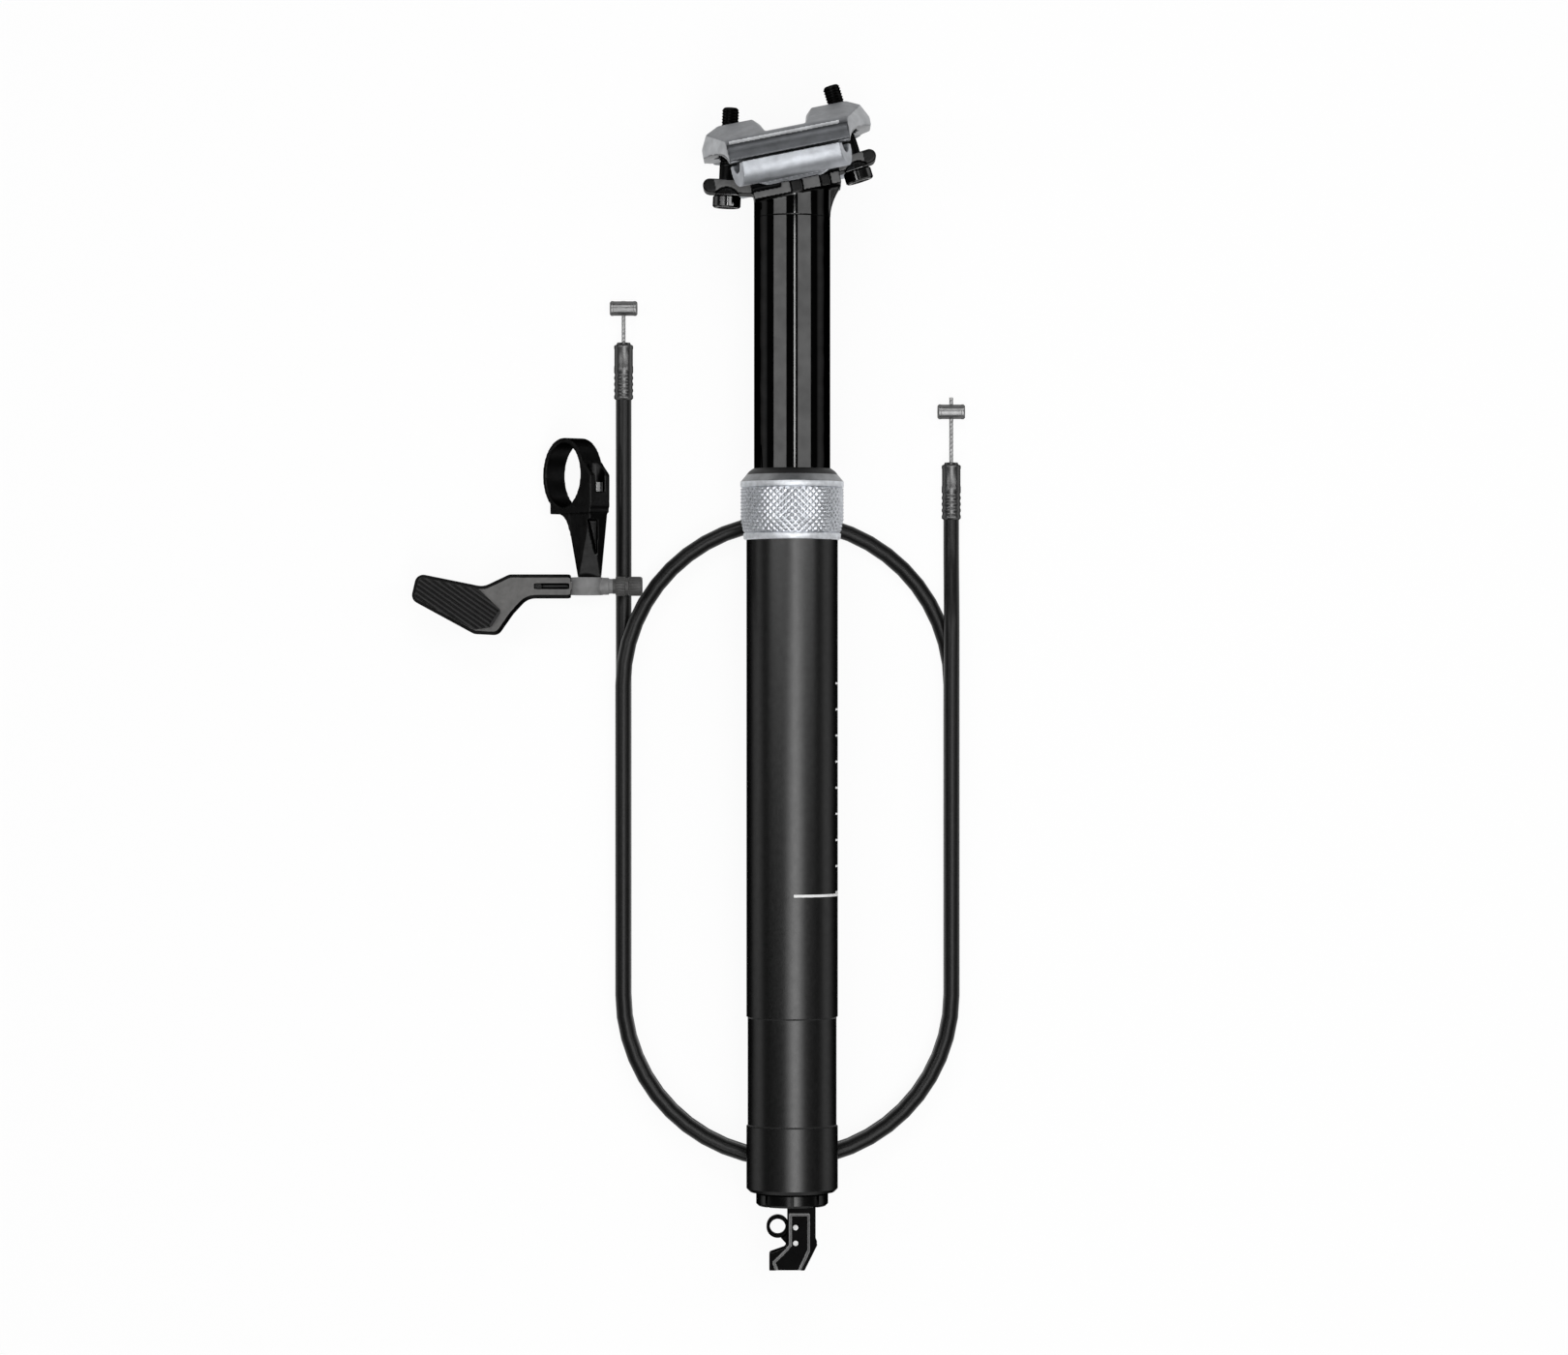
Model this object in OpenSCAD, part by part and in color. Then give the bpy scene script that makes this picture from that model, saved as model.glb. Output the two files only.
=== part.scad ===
// Dropper seatpost kit: a telescopic post with a two-bolt saddle clamp and a
// bottom actuator, a thumb remote, and a control cable in a loose coil.
// X runs to the right, Y along the post towards the saddle, Z up from the
// table that the kit lies on. The origin is on the post's axis, at the lower
// face of the collar.

/* [Outer tube] */
// Diameter of the outer tube, which fits the bicycle's seat tube
tube_d = 31.6; // [30.9:0.1:32.4]
// Wall of the outer tube
tube_wall = 1.6; // [1.4:0.1:2]
// Length of the outer tube below the collar
tube_len = 225; // [215:1:260]
// Length of the tube's thread inside the collar
tube_thread = 14; // [10:0.5:15]
// Depth of the thread's step under the tube's surface
thread_step = 0.5; // [0.3:0.1:0.7]
// Distance from the collar to the recessed band
band_at = 164.5; // [140:0.5:175]
// Length of the recessed band
band_len = 37.8; // [20:0.2:45]
// Depth of the recessed band
band_depth = 0.45; // [0.2:0.05:0.6]

/* [Collar] */
// Diameter of the collar
collar_d = 35.8; // [34.6:0.2:38]
// Diameter of the collar at its lower rim
collar_foot_d = 33.4; // [33:0.2:34.4]
// Height of the knurled part with its rims
collar_h = 20.4; // [18:0.2:24]
// Height of the conical top of the collar
bevel_h = 3.3; // [2:0.1:5]
// Height of each smooth rim
rim_h = 2.2; // [1:0.1:4]
// Depth of the knurled field under the rims
knurl_depth = 0.25; // [0.1:0.05:0.5]
// Height of the wiper seal
wiper_h = 7; // [5:0.5:8]
// Thickness of the wiper at the collar's mouth
wiper_t = 1.6; // [1.2:0.1:1.7]
// How far the wiper's lip stands above the collar
wiper_lip = 0.9; // [0.3:0.1:1.5]

/* [Stanchion] */
// Diameter of the stanchion
stanchion_d = 26.4; // [25:0.1:26.8]
// Wall of the stanchion
stanchion_wall = 2; // [1.6:0.1:2.5]
// Stanchion that shows between the collar and the head
stanchion_show = 87.5; // [84:0.5:120]
// Length of the stanchion inside the tube at full height
overlap = 58; // [50:1:70]
// Length of each plain bearing
bush_len = 12; // [8:1:16]
// Length of a guide key
key_len = 16; // [10:1:20]
// Width of a guide key
key_w = 3; // [2:0.1:4]
// Depth of a key in the stanchion, and of its keyway in the tube
key_depth = 0.7; // [0.5:0.05:0.9]
// Number of guide keys
key_count = 3; // [2:1:4]
// Travel of the post
travel = 80; // [60:1:82]

/* [Gas spring] */
// Diameter of the gas spring's body
gas_d = 18; // [14:0.5:20]
// Wall of the gas spring's body
gas_wall = 1.5; // [1:0.1:2]
// Diameter of the rod
rod_d = 8; // [6:0.5:10]
// Height of the gland at the top of the body
gland_h = 10; // [6:1:14]
// Height of the piston
piston_h = 8; // [5:0.5:10]
// Height of the rubber ring above the piston
bumper_h = 4; // [2:0.5:6]
// Diameter of the foot that passes the end cap
foot_d = 12; // [10:0.5:14]
// Diameter of the valve pin
valve_d = 3; // [2:0.1:3.6]
// Stroke of the valve pin
valve_stroke = 1.2; // [0.8:0.1:1.5]

/* [End cap and actuator] */
// Diameter of the end cap's flange
cap_d = 24.9; // [22:0.1:26]
// Height of the end cap's flange
cap_h = 4.8; // [4:0.2:7]
// Length of the end cap's plug in the tube
cap_plug = 10; // [8:0.5:14]
// Thickness of each cheek of the fork
cheek_t = 2.4; // [1.8:0.1:3]
// Width of the slot between the cheeks
fork_slot = 6; // [5:0.1:7]
// Height of the fork under the end cap
fork_h = 22; // [20:0.1:25]
// Diameter of the two pins
pin_d = 1.8; // [1.4:0.1:2.2]
// Outer diameter of the nipple ring
ring_od = 7.7; // [7:0.1:8.4]
// Room of a nipple in the nipple ring
nipple_room = 0.1; // [0.05:0.05:0.2]
// Bore of the housing stop
stop_bore_d = 5.6; // [5:0.1:5.8]

/* [Saddle clamp] */
// Slope of the wings and of the clamp across the post
head_slope = 11.2; // [8:0.2:14]
// Height of the wings' centre over the stanchion's top
head_rise = 15.9; // [15.3:0.1:20]
// Offset of the wings' centre to the front of the post's axis
wing_offset = 1; // [0:0.1:2]
// Offset of the clamp to the rear of the wings' centre
setback = 1.2; // [0:0.1:2]
// Half span of the wings
wing_reach = 30.4; // [29:0.2:32]
// Thickness of the wings
wing_t = 4.7; // [4:0.1:5.4]
// Width of the wings
wing_w = 13; // [11:0.5:16]
// Distance of each clamp bolt's head from the middle
bolt_reach = 23.2; // [22:0.1:24.5]
// Lean of the front bolt
front_lean = 13.7; // [10:0.1:15]
// Lean of the rear bolt
rear_lean = 6; // [4:0.1:10]
// Diameter of the clamp bolts
bolt_d = 6; // [5:0.1:6.2]
// Length of the clamp bolts' shanks
bolt_len = 32.6; // [30:0.2:42]
// Diameter of the bolt heads
bolt_head_d = 9.7; // [9:0.1:10.4]
// Height of the bolt heads
bolt_head_h = 4; // [3:0.1:5]
// Thickness of the half-round washers under the wings
washer_t = 2.6; // [2.2:0.1:3]
// Diameter of the barrel nuts
nut_d = 8.4; // [7.8:0.1:9]
// Diameter of the saddle rails
rail_d = 7; // [7:0.1:8]
// Distance between the saddle rails' centres
rail_gap = 44; // [43:0.5:45]
// Length of the clamp along the rails
clamp_len = 42; // [38:0.5:46]
// Half width of a rail bar
bar_half = 6; // [5.4:0.1:6.2]
// Height of the rails over the wings' centre
rail_y = 4.4; // [4:0.1:5]
// Height of the lobes over the wings' centre
lobe_y = 19.4; // [19:0.1:22]
// Half length of the upper clamp over its noses
nose_reach = 29.4; // [27:0.2:32]
// Radius of the trough that the cradle rocks in
trough_r = 24; // [23:0.5:28]

/* [Remote] */
// Diameter of the handlebar
bar_d = 22.2; // [22:0.1:22.4]
// Wall of the bar clamp's ring
bar_wall = 1.8; // [1.6:0.1:2.6]
// Width of the bar clamp's ring
bar_w = 8.2; // [7:0.2:10]
// Angle between the handlebar and the view from above
bar_turn = 54.8; // [50:0.2:60]
// Thickness of the lever
lever_t = 4; // [3:0.2:5]
// Height of the grip's ribs
rib_h = 0.8; // [0.5:0.1:1.2]
// Number of grip ribs
rib_count = 10; // [6:1:12]
// Diameter of the lever's pivot bolt
pivot_d = 4; // [3:0.1:4.6]
// Diameter of the barrel adjuster
barrel_d = 6.7; // [6.4:0.1:7]
// Length of the barrel adjuster
barrel_len = 10.3; // [8:0.1:11]
// Bore of the barrel adjuster for the housing
barrel_bore_d = 5.6; // [5:0.1:5.7]

/* [Cable] */
// Diameter of the cable housing
housing_d = 5.5; // [5:0.1:5.6]
// Diameter of the ferrules
ferrule_d = 6.7; // [6.2:0.1:7]
// Length of the ferrules
ferrule_len = 20; // [18:0.2:24]
// Diameter of the wire
wire_d = 1.4; // [1.2:0.1:1.6]
// Diameter of the nipples
nipple_d = 5.2; // [4.6:0.1:5.4]
// Length of the nipples
nipple_len = 9.6; // [8:0.1:11]
// Bare wire at the left end
left_bare = 9.4; // [8:0.1:14]
// Bare wire at the right end
right_bare = 15.2; // [14:0.1:18]

/* [Hidden] */
$fn = 64;

// Clearances: a running fit, a free gap, the bolts' room to swing
run = 0.06;
loose = 0.3;
bolt_room = 0.5;

// Small overlap of joined solids, and the reach of a cut past a face
eps = 0.05;
past = 1;

// Length of a cut that goes right through a piece
through = 60;

// Chamfer of small edges
edge = 0.8;

// Radii of the post
tube_r = tube_d / 2;
bore_r = tube_r - tube_wall;
thread_r = tube_r - thread_step;
collar_r = collar_d / 2;
collar_foot_r = collar_foot_d / 2;
post_r = stanchion_d / 2;
post_ri = post_r - stanchion_wall;
wiper_r = post_r + wiper_t;
cap_r = cap_d / 2;
foot_r = foot_d / 2;
rod_r = rod_d / 2;

// Stations along the post
tube_top = tube_thread;
collar_top = collar_h + bevel_h;
head_base = collar_top + stanchion_show;
head_y = head_base + head_rise;
tube_foot = -tube_len;
cap_foot = tube_foot - cap_h;
plug_top = tube_foot + cap_plug;
lower_bush_y = -overlap + 2;
key_y = lower_bush_y + bush_len + 4;
gas_top = -overlap - 22;
gas_foot = plug_top;
gas_floor = gas_foot + 4;
gas_r = gas_d / 2;
gas_ri = gas_r - gas_wall;
bumper_y = gas_top - gland_h - bumper_h;
piston_y = bumper_y - piston_h;
rod_top = head_base - 4;
boss_len = 12;
boss_foot = head_base - boss_len;
nut_h = 5;
clip_t = 1.2;
valve_top = gas_floor - 2;

// Actuator: the arm turns on the lower pin
pivot_pin = [1.2, cap_foot - 12.6];
stop_pin = [1.2, cap_foot - 7.2];
ring_at = [-5, cap_foot - 7.2];
cam_r = 10.4;
valve_foot = pivot_pin.y + cam_r + loose;
arm_swing = 18;
arm_t = fork_slot - 2 * loose;
ring_id = nipple_d + 2 * nipple_room;
stop_x = -4.9;
fork_left = -1.7;
fork_right = 8.1;
hook_left = -7.9;
fork_foot = cap_foot - fork_h;
stop_top = cap_foot - 16.4;
stop_wall = 1.2;

// Saddle clamp, in the frame of its slope
nut_r = nut_d / 2;
nut_y = 14.5;
nut_len = 14;
trough_y = trough_r - 6.5;
bolt_y = -wing_t / 2 - 3.65;
seat_r = bolt_head_h / 2 + washer_t;
wing_seat = bolt_head_h / 2 + 0.7;
wing_root = 13;
washer_len = wing_w - 2;
bar_top = rail_y + 8.8;
bar_foot = rail_y - 8.2;
half_gap = 0.3;
nose_fillet = 4.6;
block_half = 16;
trough_half = 12.7;
trough_wall = 1.9;
head_half = trough_half + trough_wall;
web_y = bar_foot + 2.8;
tilt = 8;

// Table: the clamp's lower bar lies on it
table = -(rail_gap / 2 + bar_half + loose);

// Remote
lever_z = -13;
pivot_x = -71.5;
pivot_y = -15.75;
bar_r = bar_d / 2;
bar_ro = bar_r + bar_wall;
stem_skirt = 0.6;
bar_rest = (bar_ro + stem_skirt) * sin(bar_turn) + bar_w / 2 * cos(bar_turn);
bar_centre = [-76.5, 23, table + eps + bar_rest];
lug_x = bar_ro + 2.3;
lug_end = lug_x + 2.4;
lug_top = 4.2;
lug_split = -9.6;
pinch_d = 3.2;
pinch_gap = 0.5;
pinch_head_d = 5;
pinch_seat = -6.2;
pinch_tip = -12.4;
block_w = 11.1;
block_h = 6.2;
pivot_grip = 3;
neck_d = 6;
neck_end = pivot_x + 9.9;
wire_hole_d = 1.8;
tongue_h = 2.6;
eye_r = lever_t / 2 + 1.4;
pivot_at = [pivot_x, pivot_y, lever_z];

// Cable route: the middle of the coil, its layers and its two ends
coil_x = -1.6;
coil_r = 57.4;
coil_top = -50.2;
coil_foot = -158.4;
housing_r = housing_d / 2;
layer_gap = 0.6;
layer_1 = table + housing_r + 0.02;
layer_2 = layer_1 + housing_d + layer_gap;
ferrule_z = table + ferrule_d / 2 + 0.05;
left_end = 49.8;
right_end = 7.8;
left_x = coil_x - coil_r;
right_x = coil_x + coil_r;
left_depth = 13.5;
right_depth = 6.8;
wire_nub = 2.4;
climb_from = 60;
climb_to = 165;
tail_len = 40;
tail_rise = 30;
sink_from = -32;
sink_to = 0;
loop_rings = 24;
tube_sides = 6;
run_step = 24;

function smooth(t) = let (c = min(1, max(0, t))) c * c * (3 - 2 * c);
function arc_xyz(centre_y, a, z) = [coil_x + coil_r * cos(a), centre_y + coil_r * sin(a), z];
function climb_z(a) = layer_1 + (layer_2 - layer_1) * smooth((a - climb_from) / (climb_to - climb_from));
function sink_z(y) = layer_2 + (ferrule_z - layer_2) * smooth((y - sink_from) / (sink_to - sink_from));
function start_z(y) = layer_1 + (ferrule_z - layer_1) * smooth((y - left_end + tail_len) / tail_rise);
function down_run(from, to) = [for (y = [from : -run_step : to + run_step / 2]) y];
function up_run(from, to) = [for (y = [from : run_step : to - run_step / 2]) y];

// The housing's centre line, from the left ferrule to the right one
half_loop = loop_rings / 2;
arc_step = 360 / loop_rings;
left_tail = [for (y = [0, housing_d, 16, 24, 32]) [left_x, left_end - y, start_z(left_end - y)]];
left_down = [for (y = down_run(left_end - tail_len, coil_foot)) [left_x, y, layer_1]];
foot_turn_1 = [for (i = [0 : half_loop]) arc_xyz(coil_foot, 180 + i * arc_step, layer_1)];
right_up = [for (y = up_run(coil_foot + run_step, coil_top)) [right_x, y, layer_1]];
top_turn = [for (i = [0 : half_loop]) arc_xyz(coil_top, i * arc_step, climb_z(i * arc_step))];
left_again = [for (y = down_run(coil_top - run_step, coil_foot)) [left_x, y, layer_2]];
foot_turn_2 = [for (i = [0 : half_loop]) arc_xyz(coil_foot, 180 + i * arc_step, layer_2)];
right_again = [for (y = up_run(coil_foot + run_step, sink_from)) [right_x, y, layer_2]];
right_tail = [for (y = [sink_from : 6.4 : sink_to]) [right_x, y, sink_z(y)]];
right_last = [[right_x, right_end, ferrule_z]];
route = concat(left_tail, left_down, foot_turn_1, right_up, top_turn, left_again, foot_turn_2,
    right_again, right_tail, right_last);

// Least gap of the housing to itself, over points a few rings apart
near_rings = 4;
far_pairs = [for (i = [0 : len(route) - 1]) for (j = [i + near_rings : 1 : len(route) - 1])
    norm(route[i] - route[j])];
echo(least_gap_of_the_housing_to_itself = min(far_pairs) - housing_d);

function unit(v) = v / norm(v);
function tangent(p, i) = unit(p[min(i + 1, len(p) - 1)] - p[max(i - 1, 0)]);
function end_tangent(p, i) = i < 2 || i > len(p) - 3 ? [0, i < 2 ? -1 : 1, 0] : tangent(p, i);

// A tube with a six-sided section, flat above and below, along points
module swept_tube(p, across) {
    corner_r = across / 2 / cos(180 / tube_sides);
    rings = [for (i = [0 : len(p) - 1])
        let (t = end_tangent(p, i), side = unit(cross([0, 0, 1], t)), up = cross(t, side))
        for (k = [0 : tube_sides - 1])
        p[i] + corner_r * (cos(k * 360 / tube_sides) * side + sin(k * 360 / tube_sides) * up)];
    last = (len(p) - 1) * tube_sides;
    walls = [for (i = [0 : len(p) - 2]) for (k = [0 : tube_sides - 1])
        let (a = i * tube_sides + k, b = i * tube_sides + (k + 1) % tube_sides)
        each [[a, a + tube_sides, b], [b, a + tube_sides, b + tube_sides]]];
    first_cap = [for (k = [1 : tube_sides - 2]) [0, k, k + 1]];
    last_cap = [for (k = [1 : tube_sides - 2]) [last, last + k + 1, last + k]];
    polyhedron(rings, concat(walls, first_cap, last_cap));
}

// Solids of revolution about the post's axis, from [radius, station] points
module turned(points) {
    rotate([-90, 0, 0]) rotate_extrude() polygon(points);
}

// A tube or disc about the post's axis between two stations
module ring(r, ri, from, to) {
    translate([0, from, 0]) rotate([-90, 0, 0]) difference() {
        cylinder(r = r, h = to - from);
        if (ri > 0) translate([0, 0, -past]) cylinder(r = ri, h = to - from + 2 * past);
    }
}

// A round bar along Z through a point of the plan
module cross_bar(at, d, length) {
    translate([at.x, at.y, -length / 2]) cylinder(d = d, h = length);
}

// The saddle clamp's frame: x along the rails, y away from the wings
module head_frame() {
    translate([-wing_offset, head_y, 0]) rotate([0, 0, head_slope]) children();
}

// The key slots, grown by a clearance
module keys(grow, r_in, r_out, from, to) {
    for (i = [0 : key_count - 1]) rotate([0, 90 + i * 360 / key_count, 0])
        translate([r_in, from, -key_w / 2 - grow]) cube([r_out - r_in, to - from, key_w + 2 * grow]);
}

module outer_tube() {
    foot_chamfer = 1.2;
    key_room = 6;
    color("#1b1b1c") difference() {
        turned([[bore_r, tube_foot], [tube_r - foot_chamfer, tube_foot], [tube_r, tube_foot + foot_chamfer],
            [tube_r, -band_at - band_len], [tube_r - band_depth, -band_at - band_len],
            [tube_r - band_depth, -band_at], [tube_r, -band_at], [tube_r, 0],
            [thread_r, 0], [thread_r, tube_top], [bore_r, tube_top]]);
        keys(loose / 2, post_r - past, bore_r + key_depth, key_y - travel - key_room,
            key_y + key_len + key_room);
    }
}

// The knurled field is narrower at its foot, where it runs into the lower rim
module collar() {
    step = 0.2;
    flare = 7;
    knurl_r = collar_r - knurl_depth;
    color("silver") turned([[thread_r, 0], [collar_foot_r - edge / 2, 0], [collar_foot_r, edge / 2],
        [collar_foot_r + step, rim_h], [collar_foot_r + step - knurl_depth, rim_h + step],
        [knurl_r, flare], [knurl_r, collar_h - rim_h - step], [collar_r, collar_h - rim_h],
        [collar_r, collar_h], [wiper_r, collar_top], [wiper_r, collar_top - wiper_h],
        [thread_r, collar_top - wiper_h]]);
}

module wiper_seal() {
    lip = collar_top + wiper_lip;
    lip_t = 0.3;
    color("#101010") turned([[post_r + run, tube_top], [thread_r, tube_top],
        [thread_r, collar_top - wiper_h], [wiper_r, collar_top - wiper_h],
        [wiper_r, collar_top], [post_r + run + lip_t, lip], [post_r + run, lip]]);
}

module upper_bush() {
    top = tube_top - past;
    color("#3a3f3a") ring(bore_r, post_r + run, top - bush_len, top);
}

module end_cap() {
    notches = 8;
    notch_w = 1.3;
    notch_depth = 1.4;
    color("#1a1a1a") difference() {
        turned([[foot_r, cap_foot], [cap_r - edge, cap_foot], [cap_r, cap_foot + edge],
            [cap_r, tube_foot - edge], [cap_r - edge, tube_foot], [bore_r, tube_foot],
            [bore_r, plug_top], [foot_r, plug_top]]);
        for (i = [0 : notches - 1]) rotate([0, i * 360 / notches, 0])
            translate([-notch_w / 2, cap_foot - past, cap_r - notch_depth])
            cube([notch_w, cap_h - edge + past, notch_depth + past]);
    }
}

module cartridge_body() {
    color("#8a8d90") difference() {
        turned([[0, cap_foot + clip_t], [foot_r, cap_foot + clip_t], [foot_r, gas_foot],
            [gas_r, gas_foot], [gas_r, gas_top], [0, gas_top]]);
        ring(gas_ri, 0, gas_floor, gas_top - gland_h);
        ring(rod_r + run, 0, gas_top - gland_h - past, gas_top + past);
        ring(valve_d / 2 + run, 0, cap_foot - past, valve_top);
    }
}

module circlip() {
    gap = 2;
    color("#55585a") difference() {
        ring(foot_r, valve_d / 2 + clip_t, cap_foot, cap_foot + clip_t);
        translate([-foot_d, cap_foot - past, -gap / 2]) cube([foot_d, clip_t + 2 * past, gap]);
    }
}

// One cheek of the fork, its outer face sunk inside a raised border
module cheek() {
    knee_y = cap_foot - 13.2;
    border_left = 1.1;
    border_right = 2.4;
    border_top = 2.8;
    sink = 0.7;
    sunk_left = fork_left + border_left;
    sunk_right = fork_right - border_right;
    difference() {
        linear_extrude(cheek_t) difference() {
            polygon([[fork_left, cap_foot], [fork_right, cap_foot], [fork_right, knee_y + 1.6],
                [fork_right + 0.6, knee_y], [fork_right - 3.8, fork_foot], [hook_left, fork_foot],
                [hook_left + 0.2, stop_top], [fork_left - 0.9, stop_top + 1.8], [fork_left, stop_top + 3.4]]);
            for (at = [pivot_pin, stop_pin]) translate(at) circle(d = pin_d);
        }
        translate([0, 0, cheek_t - sink]) linear_extrude(past)
            polygon([[sunk_left, cap_foot - border_top], [sunk_right, cap_foot - border_top],
                [sunk_right, knee_y - 2], [sunk_right - 3.2, fork_foot - past],
                [hook_left + 2.6, fork_foot - past], [hook_left + 1.6, stop_top - 2.8],
                [fork_left - 1.6, stop_top], [sunk_left, stop_top + 3]]);
    }
}

module actuator_bracket() {
    slot_half = fork_slot / 2;
    filled = fork_slot + 2 * eps;
    bridge_t = 1.9;
    bridge_h = 3;
    wire_room = 2.2;
    wire_slit = 1.6;
    color("#232323") difference() {
        union() {
            for (side = [0, 1]) mirror([0, 0, side]) translate([0, 0, slot_half]) cheek();
            translate([hook_left, fork_foot, -filled / 2])
                cube([fork_right - 3.8 - hook_left, stop_top - fork_foot, filled]);
            translate([fork_right - bridge_t, cap_foot - bridge_h, -filled / 2])
                cube([bridge_t, bridge_h, filled]);
        }
        translate([stop_x, fork_foot - past, 0]) rotate([-90, 0, 0])
            cylinder(d = stop_bore_d, h = stop_top - fork_foot - stop_wall + past);
        translate([stop_x, fork_foot, 0]) rotate([-90, 0, 0]) cylinder(d = wire_room, h = fork_h);
        translate([hook_left - past, fork_foot - past, -wire_slit / 2])
            cube([stop_x - hook_left + past, fork_h, wire_slit]);
    }
}

module actuator_pins() {
    color("#c9ccce") for (at = [pivot_pin, stop_pin]) cross_bar(at, pin_d, fork_slot + 2 * cheek_t);
}

// Cam arm: its edge rises clockwise from under the valve pin's right side, so it
// lifts the pin as it swings the other way
cam_from = acos((valve_d / 2 - pivot_pin.x) / cam_r);
cam_arc = [for (a = [68 : 4 : 104])
    let (r = cam_r + valve_stroke * min(1, max(0, (cam_from - a) / arm_swing)))
    pivot_pin + r * [cos(a), sin(a)]];

module actuator_arm() {
    hub_r = 2.7;
    color("#2d2d2e") translate([0, 0, -arm_t / 2]) difference() {
        union() {
            linear_extrude(arm_t)
                polygon(concat([pivot_pin + [hub_r, 0]], cam_arc, [pivot_pin - [hub_r, 0]]));
            linear_extrude(arm_t) polygon([pivot_pin + [0.6, hub_r], ring_at + [1.2, hub_r],
                ring_at - [0, hub_r], pivot_pin + [-1.8, -2]]);
            translate(pivot_pin) cylinder(r = hub_r, h = arm_t);
        }
        translate([pivot_pin.x, pivot_pin.y, -past]) cylinder(r = pin_d / 2 + run, h = arm_t + 2 * past);
        for (a = [0 : 3 : arm_swing + 1]) translate([pivot_pin.x, pivot_pin.y, -past]) rotate([0, 0, -a])
            translate([0, stop_pin.y - pivot_pin.y, 0]) cylinder(r = pin_d / 2 + loose, h = arm_t + 2 * past);
        translate([ring_at.x, ring_at.y, -past]) cylinder(d = ring_od, h = arm_t + 2 * past);
    }
}

module nipple_ring() {
    color("#9a9da0") translate([ring_at.x, ring_at.y, -arm_t / 2]) difference() {
        cylinder(d = ring_od, h = arm_t);
        translate([0, 0, -past]) cylinder(d = ring_id, h = arm_t + 2 * past);
    }
}

module valve_pin() {
    color("#c9ccce") ring(valve_d / 2, 0, valve_foot, valve_top - valve_stroke - loose);
}

module stanchion() {
    color("#0c0c0d") difference() {
        ring(post_r, post_ri, -overlap, head_base);
        keys(0, post_r - key_depth, post_r + past, key_y, key_y + key_len);
    }
}

module guide_keys() {
    color("#b08d3c") intersection() {
        keys(0, post_r - key_depth, bore_r + key_depth, key_y, key_y + key_len);
        ring(bore_r + key_depth - loose / 2, 0, key_y, key_y + key_len);
    }
}

module lower_bush() {
    color("#3a3f3a") ring(bore_r - run, post_r, lower_bush_y, lower_bush_y + bush_len);
}

module cartridge_rod() {
    color("#d4d6d8") ring(rod_r, 0, piston_y, rod_top);
}

module rod_piston() {
    color("#777a7c") ring(gas_ri - run, rod_r, piston_y, piston_y + piston_h);
}

module top_out_bumper() {
    color("#202020") ring(gas_ri - loose, rod_r, bumper_y, bumper_y + bumper_h - loose);
}

module rod_nut() {
    color("#9a9da0") translate([0, boss_foot - nut_h, 0]) rotate([-90, 0, 0]) difference() {
        cylinder(d = rod_d * 1.9, h = nut_h, $fn = 6);
        translate([0, 0, -past]) cylinder(d = rod_d, h = nut_h + 2 * past);
    }
}

// The line of a clamp bolt in the head's frame: side is -1 front, 1 rear
function lean_of(side) = side < 0 ? -front_lean : rear_lean;
function nut_x(side) = side * bolt_reach - (nut_y - bolt_y) * tan(lean_of(side));
module bolt_line(side) {
    translate([side * bolt_reach, bolt_y, 0]) rotate([0, 0, lean_of(side)]) rotate([-90, 0, 0]) children();
}

// A wing lies square to its bolt and has a round end
module wing(side) {
    tip = wing_reach - bolt_reach - wing_t / 2 + (wing_seat + wing_t / 2) * sin(abs(lean_of(side)));
    bolt_line(side) translate([0, 0, wing_seat]) rotate([90, 0, 0])
        linear_extrude(wing_w, center = true) mirror([side < 0 ? 1 : 0, 0]) union() {
            translate([tip, wing_t / 2]) circle(d = wing_t);
            translate([-wing_root, 0]) square([tip + wing_root, wing_t]);
        }
}

// Outline of the web that flares from the neck to the rear corner of the flange
function flare(corner) = [for (t = [0 : 0.125 : 1])
    [post_r + (corner.x - post_r) * t * t, head_base + (corner.y - head_base) * t]];

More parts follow.
